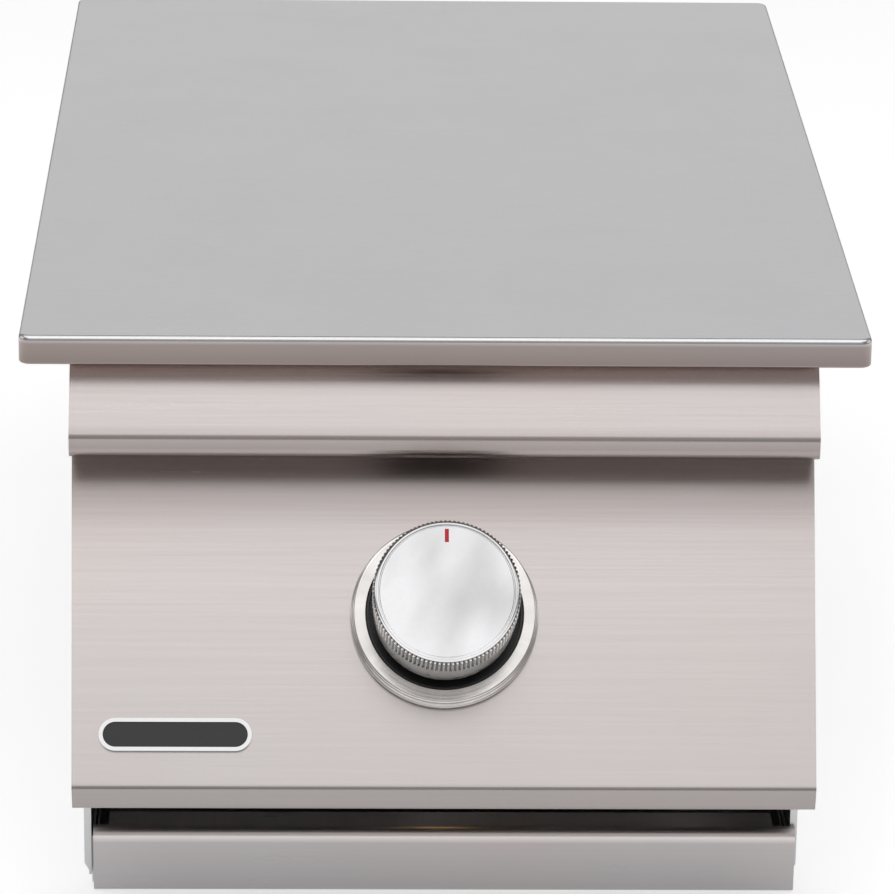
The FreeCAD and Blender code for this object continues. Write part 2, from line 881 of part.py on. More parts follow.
def control_panel():
    """Leaning panel with the stem hole, and the cheeks that close its wedge."""
    folded = bent_sheet("Folded panel", panel_corners(), "Gauge", "PanelWidth", -1)
    hole = on_panel(grouped("Hole", [rod("StemHole", "4 * Gauge", 0, 0, "0 - 2 * Gauge")]))
    trims = []
    for sign in (-1, 1):
        foot = f"{sign} * (PanelWidth / 2 - PanelTaper)"
        outside = f"{sign} * (PanelWidth / 2 + Gauge)"
        wedge = extrude(loose_sketch((
            (f"{sign} * PanelWidth / 2", "LipBottom + Gauge"), (foot, "HemZ"),
            (foot, "HemZ - Gauge"), (outside, "HemZ - Gauge"), (outside, "LipBottom + Gauge"),
        )), "PanelBack - PanelFootY + 2 * Gauge", False)
        place(turn(wedge, (1, 0, 0), 90), 0, "PanelBack + Gauge")
        trims.append(wedge)
    keep(cut("control_panel", folded, hole, *trims))

    def cheek(side, sign):
        corners = panel_corners()[:4] + (("PanelBack", "HemZ"),)
        blank = side_plate("Blank", corners, "Gauge",
                           f"{sign} * (PanelWidth / 2 - PanelTaper - Gauge / 2) - Gauge / 2")
        inner = "(PanelWidth / 2 - PanelTaper - Gauge)"
        low = "BoxWidth / 2" if sign > 0 else f"0 - {inner}"
        high = inner if sign > 0 else "0 - BoxWidth / 2"
        tab = block((low, high), ("PanelBack - Gauge", "PanelBack"),
                    ("HemZ", "WallKneeZ"))
        keep(cut(f"panel_cheek_{side}", fused("Cheek", blank, tab), folded))
    both_sides(cheek)


# Box

def side_wall(side, sign):
    """Side wall with vents and a narrow edge flange at its front."""
    x = "WallIn" if sign > 0 else "0 - BoxWidth / 2"
    corners = (
        ("WallFront", "WallFoot"), ("WallFront", "WallKneeZ"),
        ("WallRise", "WallShoulderZ"), ("WallRise", "DeckUnder"),
        ("BoxRear", "DeckUnder"), ("BoxRear", "WallFoot"),
    )
    plate = side_plate("Plate", corners, "WallGauge", x)
    inner, outer = f"{sign} * WallIn", f"{sign} * (BoxWidth / 2 + EdgeFlange)"
    edge = (
        (inner, "WallFoot"), (outer, "WallFoot + EdgeTaper"), (outer, "EdgeTop"),
        (inner, "EdgeTop"),
    )
    flange = turn(extrude(loose_sketch(edge), "WallGauge", False), (1, 0, 0), 90)
    place(flange, 0, "WallFront + WallGauge")
    tools = []
    for index in range(int(size("VentCount"))):
        y = f"LidFront + VentStart + {index} * VentPitch"
        low, high = "VentRise - VentTall / 2", "VentRise + VentTall / 2"
        end = "VentWide / 2 - Sliver"
        slot = (
            (y, low, end), (f"{y} + VentWide", low, end),
            (f"{y} + VentWide", high, end), (y, high, end),
        )
        tools.append(side_plate("Slot", slot, "3 * WallGauge", f"{x} - WallGauge"))
    for y in ("BurnerY - BoltPitch / 2", "BurnerY + BoltPitch / 2"):
        tools.append(rod("BoltWide / 2 + HoleFit", "3 * WallGauge", f"{x} - WallGauge", y,
                         "PotFoot - BoltDrop", "x"))
    keep(cut(f"{side}_wall", fused("Wall", plate, flange), *tools))


def front_rail():
    """Upright rail that ties the walls, deck and lip together."""
    corners = (
        ("PanelBack + RailFlange", "DeckUnder"), ("PanelBack", "DeckUnder"),
        ("PanelBack", "LipBottom - RailFlange"),
    )
    keep(bent_sheet("front_rail", corners, "RailGauge", "2 * WallIn", -1))


def firewall():
    """Heat shield between the burner and the valve, with its three holes."""
    corners = (
        ("Firewall + FirewallFlange", "DeckUnder"), ("Firewall", "DeckUnder"),
        ("Firewall", "FirewallFoot"),
    )
    folded = bent_sheet("Folded", corners, "WallGauge", "2 * WallIn", -1)
    start, length = "Firewall - 2 * WallGauge", "5 * WallGauge"
    holes = (
        rod("ShutterOut + 3 * WallGauge", length, 0, start, "OutletZ", "y"),
        rod("PipeWide / 2 + 2 * HoleFit", length, "PipeSide", start, "PipeZ", "y"),
        rod("LeadHole / 2", length, "0 - LeadSide", start, "LeadRise", "y"),
    )
    keep(cut("firewall", folded, *holes))


def rear_wall():
    """Rear wall, flanged top and bottom, with the inlet hole."""
    corners = (
        ("BoxRear - RearFlange", "DeckUnder"), ("BoxRear", "DeckUnder"),
        ("BoxRear", "WallFoot", "RearBend"), ("BoxRear - RearFlange", "WallFoot"),
    )
    folded = bent_sheet("Folded", corners, "WallGauge", "2 * WallIn", 1)
    hole = rod("PipeWide / 2 + 2 * HoleFit", "5 * WallGauge", "PipeSide",
               "BoxRear - 3 * WallGauge", "PipeZ", "y")
    keep(cut("rear_wall", folded, hole))


def runner(side, sign):
    """Angle runner that the drip tray slides on; the box stands on it."""
    def span(low, high):
        return (low, high) if sign > 0 else (f"0 - ({high})", f"0 - ({low})")
    along = ("WallFront + RunnerLag", "BoxRear - RearFlange - RunnerLag")
    web = block(span("RunnerIn", "WallIn"), along, ("0", "RunnerTall"))
    ledge = block(span("RunnerIn - RunnerLedge", "RunnerIn"), along, ("0", "RunnerGauge"))
    keep(fused(f"tray_runner_{side}", web, ledge))


# Drip tray

def tray():
    """Drip pan, its front plate, and the rivets between them."""
    body = new_body("Pan blank")
    front, rear = "FasciaFront + Gauge", "BoxRear - TrayRearGap"
    outline = (
        ("0 - TrayHalf", front), ("TrayHalf", front),
        ("TrayHalf", rear, "TrayCorner"), ("0 - TrayHalf", rear, "TrayCorner"),
    )
    pad(body, "XY_Plane", outline, "TrayTall", "TrayFoot")
    round_edges(body, "TrayBend", lambda edge: all(
        abs(point.Z - size("TrayFoot")) < 1e-6 for point in edge.Vertexes))
    side, inset = "TrayHalf - TrayGauge", "TrayGauge"
    inner = (
        (f"0 - ({side})", f"{front} + {inset}"), (side, f"{front} + {inset}"),
        (side, f"{rear} - {inset}", "TrayCorner - TrayGauge"),
        (f"0 - ({side})", f"{rear} - {inset}", "TrayCorner - TrayGauge"),
    )
    pocket(body, "XY_Plane", "TrayTall - TrayGauge", "TrayFoot + TrayTall", inner)
    height = "TrayFoot + TrayTall / 2"
    xs = [f"({index} - (RivetCount - 1) / 2) * RivetPitch"
          for index in range(int(size("RivetCount")))]
    holes = [rod("RivetWide / 2", "2 * Gauge + 2 * TrayGauge", x, "FasciaFront + Gauge / 2",
                 height, "y") for x in xs]
    keep(cut("drip_tray_pan", body, *holes))

    corners = (
        ("FasciaFront + FasciaTopReturn", "FasciaTop"),
        ("FasciaFront", "FasciaTop", "FasciaBend"),
        ("FasciaFront", "RestGap", "Gauge * 1.5"),
        ("FasciaFront + FasciaFootReturn", "RestGap"),
    )
    folded = place(bent_sheet("Fascia blank", corners, "Gauge", "FasciaWidth", -1),
                   "FasciaShift")
    notches = [
        block((low, high),
              ("WallFront - NotchGap", "FasciaFront + FasciaTopReturn + Gauge"),
              ("0", "FasciaTop + Gauge"))
        for low, high in (
            ("FasciaWidth / 2 - FasciaNotch", "FasciaWidth / 2 + 2 * FasciaNotch"),
            ("0 - FasciaWidth / 2 - 2 * FasciaNotch", "FasciaNotch - FasciaWidth / 2"),
        )
    ]
    keep(cut("drip_tray_front", folded, *notches))

    rivets = []
    for x in xs:
        shank = rod("RivetWide / 2", "TrayGauge + Gauge", x, "FasciaFront + Gauge", height, "y")
        head = rod("RivetWide", "Gauge", x, "FasciaFront + Gauge + TrayGauge", height, "y")
        rivets.append(fused("Rivet", shank, head))
    keep(grouped("tray_rivets", rivets))


# Bezel and badge, built with Z out of the panel

def bezel():
    """Raised ring round the knob, its gasket, and the dark liner inside it."""
    out, recess = "BezelWide / 2", "RecessWide / 2"
    liner_in = "RecessWide / 2 - LinerWall"
    keep(on_panel(turned("bezel_gasket", (
        (recess, "0"), (f"{out} - Gauge / 2", "0"), (f"{out} - Gauge / 2", "GasketTall"),
        (recess, "GasketTall"),
    ))))
    keep(on_panel(turned("knob_bezel", (
        (recess, "GasketTall"), (out, "GasketTall"), (out, "BezelTop", "BezelEdge"),
        (recess, "BezelTop", "BezelEdge / 2"),
    ))))
    keep(on_panel(turned("recess_liner", (
        ("StemHole", "0"), (recess, "0"), (recess, "BezelTop - BezelEdge"),
        (liner_in, "BezelTop - BezelEdge"), (liner_in, "LinerWall"), ("StemHole", "LinerWall"),
    ))))


def pill(inset):
    """Rounded bar outline of the badge, drawn in by an inset."""
    side, rise = f"BadgeWide / 2 - ({inset})", f"BadgeTall / 2 - ({inset})"
    corner = f"{rise} - Sliver"
    return (
        (f"0 - ({side})", f"0 - ({rise})", corner), (side, f"0 - ({rise})", corner),
        (side, rise, corner), (f"0 - ({side})", rise, corner),
    )


def badge():
    """Plain pill-shaped plate: a bright rim round a bare dark field."""
    rim = new_body("badge_rim")
    pad(rim, "XY_Plane", pill("0"), "BadgeThick")
    round_edges(rim, "BadgeSink / 2", lambda edge: abs(
        edge.BoundBox.ZMin - size("BadgeThick")) < 1e-6)
    pocket(rim, "XY_Plane", "2 * BadgeThick", "1.5 * BadgeThick", pill("BadgeRim"))
    field = new_body("badge_plate")
    pad(field, "XY_Plane", pill("BadgeRim"), "BadgeThick - BadgeSink")
    for piece in (rim, field):
        keep(on_panel(piece, "0 - BadgeSide", "BadgeDown"))


# Knob, built with Z out of the panel

def knob():
    """Polished shell, grip ring, dark skirt, hub, clip and the index mark."""
    body, grip = "KnobBodyWide / 2", "GripWide / 2"
    grip_top = "KnobStand - KnobBevel - BezelEdge / 3"
    grip_foot = f"{grip_top} - GripTall"
    seat = f"{body} - GripSeat"
    inner = f"{body} - GripSeat - KnobWall"
    face = "KnobFaceWide / 2"
    keep(on_panel(turned("knob_shell", (
        ("0", "RoofFoot"), (inner, "RoofFoot"), (inner, "SkirtTop"), (body, "SkirtTop"),
        (body, grip_foot), (seat, grip_foot), (seat, grip_top), (body, grip_top),
        (body, "KnobStand - KnobBevel"), (face, "KnobStand"),
        (f"{face} - DishRim", "KnobStand"), (f"{face} - DishRim - DishDepth", "DishFloor"),
        ("0", "DishFloor"),
    ))))
    keep(on_panel(turned("knob_grip_ring", (
        (seat, grip_foot), (grip, grip_foot), (grip, grip_top), (seat, grip_top),
    ))))
    skirt, web_foot = "SkirtWide / 2", "SkirtTop + SpigotTall - WebTall"
    keep(on_panel(turned("knob_skirt", (
        ("HubWide / 2", web_foot), (f"{skirt} - SkirtWall", web_foot),
        (f"{skirt} - SkirtWall", "SkirtFoot"), (skirt, "SkirtFoot"), (skirt, "SkirtTop"),
        (inner, "SkirtTop"), (inner, "SkirtTop + SpigotTall"),
        ("HubWide / 2", "SkirtTop + SpigotTall"),
    ))))

    hub = rod("HubWide / 2", "RoofFoot - HubFoot", 0, 0, "HubFoot")
    bore = rod("BoreRadius", "BoreTop - HubFoot + Gauge", 0, 0, "HubFoot - Gauge")
    flat = block(("StemFlat + RunFit", "StemWide"), ("0 - StemWide", "StemWide"),
                 ("HubFoot - 2 * Gauge", "BoreTop + Gauge"))
    clip = (("StemFlat", "StemFlat + ClipGauge"), ("0 - ClipWide / 2", "ClipWide / 2"),
            ("BoreTop - ClipTall - StemWide", "BoreTop - StemWide"))
    keep(on_panel(cut("knob_hub", hub, cut("D bore", bore, flat), block(*clip))))
    keep(on_panel(grouped("knob_clip", [block(*clip)])))
    high = f"{face} - DishRim - DishDepth - MarkEdge"
    keep(on_panel(grouped("knob_mark", [
        block(("0 - MarkWide / 2", "MarkWide / 2"), (f"{high} - MarkLength", high),
              ("DishFloor", "DishFloor + MarkTall")),
    ])))


# Valve, built with Z out of the panel

def valve_stem():
    """Stem with a flat for the knob, a shoulder, and a blade that turns the plug."""
    bar = rod("StemRadius", "StemTop + StemFoot", 0, 0, "0 - StemFoot")
    shoulder = rod("ShoulderWide / 2", "ShoulderTall", 0, 0, "ShoulderFoot")
    flat = block(("StemFlat", "StemWide"), ("0 - StemWide", "StemWide"),
                 ("FlatFoot", "StemTop + Gauge"))
    blade = block(("0 - BladeThick / 2", "BladeThick / 2"),
                  ("Gauge - StemWide / 2", "StemWide / 2 - Gauge"),
                  ("0 - BladeFoot", "0 - StemFoot"))
    keep(on_panel(fused("valve_stem", cut("Bar", bar, flat), shoulder, blade)))


def thrust_washer():
    """Washer between the stem's shoulder and the return spring."""
    keep(on_panel(turned("thrust_washer", (
        ("BoreRadius", "WasherTop - WasherTall"),
        ("ChamberWide / 2 - RestGap", "WasherTop - WasherTall"),
        ("ChamberWide / 2 - RestGap", "WasherTop"), ("BoreRadius", "WasherTop"),
    ))))


def valve_spring():
    """Return spring under the washer: one wire in a steady helix."""
    foot, top = "ChamberFoot + SpringWire / 2", "WasherTop - WasherTall - SpringWire / 2"
    height, turns = size(f"{top} - ({foot})"), size("SpringTurns")
    radius = size("ChamberWide / 2 - RestGap - SpringWire / 2")
    steps = int(turns * QUARTERS)
    spots, ways = [], []
    for step in range(steps + 1):
        angle = 2 * math.pi * step / QUARTERS
        spots.append(Vector(radius * math.cos(angle), radius * math.sin(angle),
                            height * step / steps))
        ways.append(Vector(-math.sin(angle), math.cos(angle),
                           height / (2 * math.pi * radius * turns)).normalize())
    edges = []
    for step in range(steps):
        edges += two_arcs(spots[step], ways[step], spots[step + 1], ways[step + 1])
    spring = doc.addObject("Part::Feature", "Spring")
    spring.Shape = round_wire(edges, size("SpringWire / 2"), spots[0], ways[0])
    place(spring, 0, 0, foot)
    print("spring gap", round(height / turns - size("SpringWire"), 2))
    keep(on_panel(grouped("valve_spring", [spring])))


def valve_plug():
    """Tapered plug with the slot that takes the stem's blade."""
    top, foot = "0 - PlugTop", "0 - PlugTop - PlugTall"
    body = turned("valve_plug", (
        ("0", foot), ("PlugFootWide / 2", foot), ("PlugWide / 2", top), ("0", top),
    ))
    half = "BladeThick / 2 + HoleFit / 2"
    pocket(body, "XY_Plane", "SlotDeep", top, (
        (f"0 - ({half})", "0 - PlugWide"), (half, "0 - PlugWide"), (half, "PlugWide"),
        (f"0 - ({half})", "PlugWide"),
    ))
    keep(on_panel(body))


def valve_body():
    """Brass body with its chamber, plug seat, side inlet and level outlet."""
    barrel = on_panel(grouped("Barrel", [
        rod("ValveWide / 2", "ValveLength", 0, 0, "ValveFoot"),
    ]))
    inlet = rod("InletWide / 2", "InletReach", 0, "PipeY", "PipeZ", "x")
    outlet = rod("OutletWide / 2", "OutletEnd - OutletY", 0, "OutletY", "OutletZ", "y")
    chamber = rod("ChamberWide / 2", "ChamberDeep + Gauge", 0, 0, "ChamberFoot")
    neck = rod("BoreRadius", "ChamberFoot + PlugTop + Gauge", 0, 0, "0 - PlugTop - Gauge / 2")
    seat = turned("Seat", (
        ("0", "0 - PlugTop - PlugTall - RunFit"),
        ("PlugFootWide / 2 + RunFit", "0 - PlugTop - PlugTall - RunFit"),
        ("PlugWide / 2 + RunFit", "RunFit - PlugTop"), ("0", "RunFit - PlugTop"),
    ))
    tools = [on_panel(fused("Bores", chamber, neck)), on_panel(seat)]
    tools.append(rod("InletBore / 2", "InletReach", "PlugWide / 2", "PipeY", "PipeZ", "x"))
    tools.append(rod("OutletBore / 2", "OutletEnd - OutletY", 0, "OutletY + Gauge", "OutletZ",
                     "y"))
    for sign in (-1, 1):
        tools.append(on_panel(grouped("Tapped hole", [
            rod("BonnetScrewWide / 2", "BoltReach", 0, f"{sign} * BonnetScrewPitch / 2",
                "BonnetFoot - BoltReach"),
        ])))
    ears = on_panel(grouped("Ears", [block(
        ("0 - ValveWide / 4", "ValveWide / 4"), ("0 - BonnetLength / 2", "BonnetLength / 2"),
        ("BonnetFoot - BoltReach - Gauge", "BonnetFoot"),
    )]))
    keep(cut("valve_body", fused("Casting", barrel, inlet, outlet, ears), *tools))


def valve_bonnet():
    """Cover plate over the valve's chamber, and its two screws."""
    plate = block(("0 - ValveWide / 4", "ValveWide / 4"),
                  ("0 - BonnetLength / 2", "BonnetLength / 2"),
                  ("BonnetFoot", "BonnetFoot + BonnetTall"))
    disc = rod("ValveWide / 2", "BonnetTall", 0, 0, "BonnetFoot")
    tools = [rod("BoreRadius", "3 * BonnetTall", 0, 0, "BonnetFoot - BonnetTall")]
    screws = []
    for sign in (-1, 1):
        y = f"{sign} * BonnetScrewPitch / 2"
        tools.append(rod("BonnetScrewWide / 2 + HoleFit", "3 * BonnetTall", 0, y,
                         "BonnetFoot - BonnetTall"))
        shank = rod("BonnetScrewWide / 2", "BonnetTall + BoltReach", 0, y,
                    "BonnetFoot - BoltReach")
        head = rod("BonnetScrewWide", "BonnetTall / 2", 0, y, "BonnetFoot + BonnetTall")
        screws.append(fused("Screw", shank, head))
    keep(on_panel(cut("valve_bonnet", fused("Plate", plate, disc), *tools)))
    keep(on_panel(grouped("bonnet_screws", screws)))


def hexagon(across):
    """Corners of a hexagon by its width across flats."""
    return [(f"({across}) / sqrt(3) * cos({60 * index})",
             f"({across}) / sqrt(3) * sin({60 * index})") for index in range(6)]


def hex_bar(across, length, x, y, z):
    """Hexagonal bar towards the rear."""
    bar = turn(extrude(loose_sketch(hexagon(across)), length, False), (1, 0, 0), -90)
    return place(bar, x, y, z)


def orifice():
    """Brass jet on the valve's outlet, blowing into the burner tube."""
    head = hex_bar("OrificeHex", "OrificeTall", 0, "OutletEnd", "OutletZ")
    nozzle = rod("NozzleWide / 2", "NozzleTall", 0, "OutletEnd + OrificeTall", "OutletZ", "y")
    jet = rod("JetBore / 2", "OrificeTall + NozzleTall + 2 * Gauge", 0, "OutletEnd - Gauge",
              "OutletZ", "y")
    keep(cut("gas_orifice", fused("Jet", head, nozzle), jet))


def piezo():
    """Spark generator beside the valve, and the strap that holds it."""
    keep(on_panel(grouped("piezo_igniter", [
        rod("PiezoWide / 2", "PiezoLength", "0 - PiezoSide", 0, "0 - PiezoTop - PiezoLength"),
    ])))
    middle = "0 - PiezoTop - PiezoLength / 2"
    ring = rod("PiezoWide / 2 + StrapGauge", "StrapWide", "0 - PiezoSide", 0,
               f"{middle} - StrapWide / 2")
    arm = block(("0 - PiezoSide", "0 - ValveWide / 2"), ("0 - StrapGauge", "StrapGauge"),
                (f"{middle} - StrapWide / 2", f"{middle} + StrapWide / 2"))
    room = rod("PiezoWide / 2", "2 * StrapWide", "0 - PiezoSide", 0, f"{middle} - StrapWide")
    keep(on_panel(cut("piezo_strap", fused("Strap", ring, arm), room)))


# Gas supply

def gas_pipe():
    """Pipe from the rear inlet to the valve, with one bend."""
    corners = (
        ("InletReach", "PipeY"), ("PipeSide", "PipeY", "PipeBend"),
        ("PipeSide", "BoxRear + PipeTail"),
    )
    path = place(loose_sketch(corners, closed=False), 0, 0, "PipeZ")
    start = ("InletReach", "PipeY", "PipeZ")
    outer = swept(path, "PipeWide / 2", start, ((0, 1, 0), 90))
    inner = swept(path, "PipeWide / 2 - PipeWall", start, ((0, 1, 0), 90))
    keep(cut("gas_pipe", outer, inner))


def inlet():
    """Flare fitting behind the rear wall, and its lock nut inside."""
    y = "BoxRear + Gauge / 4"
    bolt = fused(
        "Fitting",
        hex_bar("InletHex", "InletHexTall", "PipeSide", y, "PipeZ"),
        rod("InletThread / 2", "InletThreadLength", "PipeSide", f"{y} + InletHexTall", "PipeZ",
            "y"),
    )
    socket = rod("PipeWide / 2 + RunFit", "PipeTail", "PipeSide", "BoxRear", "PipeZ", "y")
    way = rod("PipeWide / 2 - PipeWall", "InletHexTall + InletThreadLength + 2 * Gauge",
              "PipeSide", f"{y} - Gauge / 2", "PipeZ", "y")
    keep(cut("gas_inlet_fitting", bolt, socket, way))
    nut = hex_bar("InletHex", "NutTall", "PipeSide", "BoxRear - WallGauge - NutTall", "PipeZ")
    room = rod("PipeWide / 2 + RunFit", "3 * NutTall", "PipeSide",
               "BoxRear - 2 * NutTall - WallGauge", "PipeZ", "y")
    keep(cut("inlet_lock_nut", nut, room))


# Burner

def venturi():
    """Burner tube: level from the jet, then up into the pot, with air windows."""
    corners = (
        ("VenturiFront", "OutletZ"), ("BurnerY", "OutletZ", "VenturiBend"),
        ("BurnerY", "PotFoot + VenturiRise"),
    )
    path = turn(loose_sketch(corners, closed=False), (1, 1, 1), 120)
    start = (0, "VenturiFront", "OutletZ")
    outer = swept(path, "VenturiWide / 2", start, ((1, 0, 0), 90))
    inner = swept(path, "VenturiWide / 2 - VenturiWall", start, ((1, 0, 0), 90))
    keep(cut("venturi_tube", outer, inner, *windows("WindowFront", "VenturiWide", "45")))


def windows(front, reach, start):
    """Tools for the air windows, spaced round the tube's middle line."""
    tools = []
    for index in range(int(size("WindowCount"))):
        angle = f"({start}) + {index} * 360 / WindowCount"
        box = block(("0", reach), ("0", "WindowLength"),
                    ("0 - WindowWide / 2", "WindowWide / 2"))
        turn(box, (0, 1, 0), size(angle))
        bind(box, "Placement.Rotation.Angle", angle)
        bind(box, "Placement.Base.x", f"0 - WindowWide / 2 * sin({angle})")
        bind(box, "Placement.Base.y", front)
        bind(box, "Placement.Base.z", f"OutletZ - WindowWide / 2 * cos({angle})")
        tools.append(box)
    return tools


def shutter():
    """Sleeve that turns on the tube to meter the air, and its thumb screw."""
    sleeve = rod("ShutterOut", "ShutterLength", 0, "ShutterFront", "OutletZ", "y")
    tube = rod("ShutterIn", "2 * ShutterLength", 0, "ShutterFront - ShutterLength / 2",
               "OutletZ", "y")
    middle = "ShutterFront + ShutterLength - ShutterEnd / 2"
    hole = rod("ThumbShank / 2", "2 * ShutterOut", 0, middle, "OutletZ")
    tools = windows("WindowFront", "VenturiWide", "45 + ShutterOpen")
    keep(cut("air_shutter", sleeve, tube, hole, *tools))
    shank = rod("ThumbShank / 2", "ThumbTall", 0, middle, "OutletZ + ShutterIn + RunFit")
    head = rod("ThumbWide / 2", "ThumbTall", 0, middle, "OutletZ + ShutterOut + ThumbTall / 2")
    keep(fused("shutter_screw", shank, head))


def burner():
    """Cast pot, ported brass head and the loose cap."""
    out, hole = "PotWide / 2", "VenturiWide / 2"
    inner, waist = f"{out} - PotWall", "PotTop - PotTall / 2"
    keep(place(turned("burner_pot", (
        (hole, "PotFoot"), ("PotFootWide / 2", "PotFoot"), (out, waist), (out, "PotTop"),
        (inner, "PotTop"), (inner, f"{waist} + PotWall / 2"),
        ("PotFootWide / 2 - PotWall / 2", "PotFoot + PotWall"), (hole, "PotFoot + PotWall"),
    )), 0, "BurnerY"))
    edge = "BurnerWide / 2"
    head = turned("burner_head", (
        (f"{edge} - HeadWall", "PotTop"), (edge, "PotTop"), (edge, "HeadTop"),
        (f"{edge} - HeadWall", "HeadTop"),
    ))
    start, end, half = f"{edge} - HeadWall - PortWide", f"{edge} + PortWide", "PortWide / 2"
    port = pocket(head, "XY_Plane", "PortDeep", "HeadTop", (
        (start, f"0 - {half}"), (end, f"0 - {half}"), (end, half), (start, half),
    ))
    around(head, port, "PortCount")
    keep(place(head, 0, "BurnerY"))
    keep(place(turned("burner_cap", (
        ("0", "HeadTop - CapSpigot"), ("CapSpigotWide / 2", "HeadTop - CapSpigot"),
        ("CapSpigotWide / 2", "HeadTop + RestGap"), (edge, "HeadTop + RestGap"),
        (edge, "HeadTop + CapTall / 2"), (f"{edge} - CapTall", "CapTop"),
        ("0", "CapTop"),
    )), 0, "BurnerY"))


def burner_bracket():
    """Bridge between the walls that carries the pot, and its four screws."""
    corners = (
        ("0 - WallIn", "PotFoot - BracketDrop"), ("0 - WallIn", "PotFoot", "BracketBend"),
        ("WallIn", "PotFoot", "BracketBend"), ("WallIn", "PotFoot - BracketDrop"),
    )
    skin = doc.addObject("Part::Offset2D", "Skin")
    skin.Source = loose_sketch(corners, closed=False)
    skin.Mode = "Skin"
    skin.Join = "Intersection"
    skin.Fill = True
    bind(skin, "Value", "BracketGauge")
    bridge = turn(extrude(skin, "BracketWide"), (1, 0, 0), 90)
    place(bridge, 0, "BurnerY")
    tools = [
        rod("VenturiWide / 2 + HoleFit", "4 * BracketGauge", 0, "BurnerY",
            "PotFoot - 2 * BracketGauge"),
        rod("LeadHole / 2", "4 * BracketGauge", "0 - SparkSide", "BurnerY",
            "PotFoot - 2 * BracketGauge"),
    ]
    screws = []
    for sign in (-1, 1):
        for half in (-1, 1):
            y, z = f"BurnerY + {half} * BoltPitch / 2", "PotFoot - BoltDrop"
            facing = "left" if sign > 0 else "x"
            tools.append(rod("BoltWide / 2 + HoleFit", "4 * BracketGauge",
                             f"{sign} * (WallIn + BracketGauge)", y, z, facing))
            shank = rod("BoltWide / 2", "BoltReach", f"{sign} * BoxWidth / 2", y, z, facing)
            head = rod("BoltHeadWide / 2", "BoltHeadTall",
                       f"{sign} * (BoxWidth / 2 + BoltHeadTall)", y, z, facing)
            screws.append(fused("Screw", shank, head))
    keep(cut("burner_bracket", bridge, *tools))
    keep(grouped("bracket_screws", screws))


# Igniter at the burner

def igniter():
    """Tab on the pot, ceramic sleeve and spark wire."""
    tab = block(("0 - SparkSide - TabEnd", "0"),
                ("BurnerY - TabWide / 2", "BurnerY + TabWide / 2"),
                ("TabZ - TabGauge / 2", "TabZ + TabGauge / 2"))
    pot = rod("PotWide / 2", "2 * TabWide", 0, "BurnerY", "TabZ - TabWide")
    hole = rod("SparkHole / 2 + RunFit", "4 * TabGauge", "0 - SparkSide", "BurnerY",
               "TabZ - 2 * TabGauge")
    keep(cut("igniter_tab", tab, pot, hole))
    bore, collar, waist = "SparkWire / 2", "CeramicCollar / 2", "SparkHole / 2"
    sleeve = turned("Ceramic", (
        (bore, "CeramicFoot"), (waist, "CeramicFoot"), (waist, "TabZ + TabGauge / 2"),
        (collar, "TabZ + TabGauge / 2"), (collar, "TabZ + TabGauge * 2"),
        (f"{waist} - RunFit", "TabZ + TabGauge * 4"), (f"{waist} - RunFit", "SparkTop"),
        (bore, "SparkTop"),
    ))
    keep(place(sleeve, "0 - SparkSide", "BurnerY"), "igniter_ceramic")
    corners = (
        ("0 - SparkSide", "LeadTop"), ("0 - SparkSide", "SparkTop + SparkRise", "SparkWire * 1.5"),
        ("SparkReach - SparkSide", "SparkTop + SparkRise"),
    )
    path = place(turn(loose_sketch(corners, closed=False), (1, 0, 0), 90), 0, "BurnerY")
    wire = swept(path, "SparkWire / 2", ("0 - SparkSide", "BurnerY", "LeadTop"), ((0, 0, 1), 0))
    keep(wire, "spark_wire")


def lead_points():
    """The lead's middle line, from the spark generator's tail to the ceramic sleeve."""
    lean = math.radians(size("PanelTilt"))
    back = Vector(0, math.cos(lean), -math.sin(lean))
    tail = Vector(-size("PiezoSide"), size("KnobY"), size("KnobZ"))
    tail += back * size("PiezoTop + PiezoLength")
    front = size("LidFront")
    route = [Vector(size(x), y + front, size(z)) for x, y, z in LEAD_ROUTE]
    end = Vector(-size("SparkSide"), size("BurnerY"), size("LeadTop"))
    return [tail, tail + back * LEAD_START] + route + [end]


def lead():
    """Igniter lead: one tube of straight runs joined by tangent arcs."""
    points = lead_points()
    edges, start, radii = [], points[0], []
    for before, corner, after in zip(points, points[1:], points[2:]):
        into, out = (corner - before).normalize(), (after - corner).normalize()
        reach = LEAD_BEND * min((corner - before).Length, (after - corner).Length)
        arc, turning = bend(corner, into, out, reach)
        edges += [Part.LineSegment(start, corner - into * reach).toShape(), arc]
        radii.append(round(turning, 1))
        start = corner + out * reach
    edges.append(Part.LineSegment(start, points[-1]).toShape())
    radius, length = size("LeadWide / 2"), Part.Wire(edges).Length
    tube = round_wire(edges, radius, points[0], points[1] - points[0])
    print("lead radii", radii, "length", round(length, 1),
          "volume ratio", round(tube.Volume / (math.pi * radius ** 2 * length), 4))
    wire = doc.addObject("Part::Feature", "Lead")
    wire.Shape = tube
    keep(wire, "igniter_lead")


def grommet():
    """Rubber grommet where the lead passes the heat shield."""
    hole, wall, gauge = "LeadHole / 2", "GrommetWall", "WallGauge"
    ring = turned("lead_grommet", (
        (f"{hole} - {wall}", f"0 - {gauge}"), (f"{hole} + {gauge}", f"0 - {gauge}"),
        (f"{hole} + {gauge}", "0"), (hole, "0"), (hole, gauge), (f"{hole} + {gauge}", gauge),
        (f"{hole} + {gauge}", f"2 * {gauge}"), (f"{hole} - {wall}", f"2 * {gauge}"),
    ))
    turn(ring, (1, 0, 0), 90)
    keep(place(ring, "0 - LeadSide", "Firewall + WallGauge", "LeadRise"))


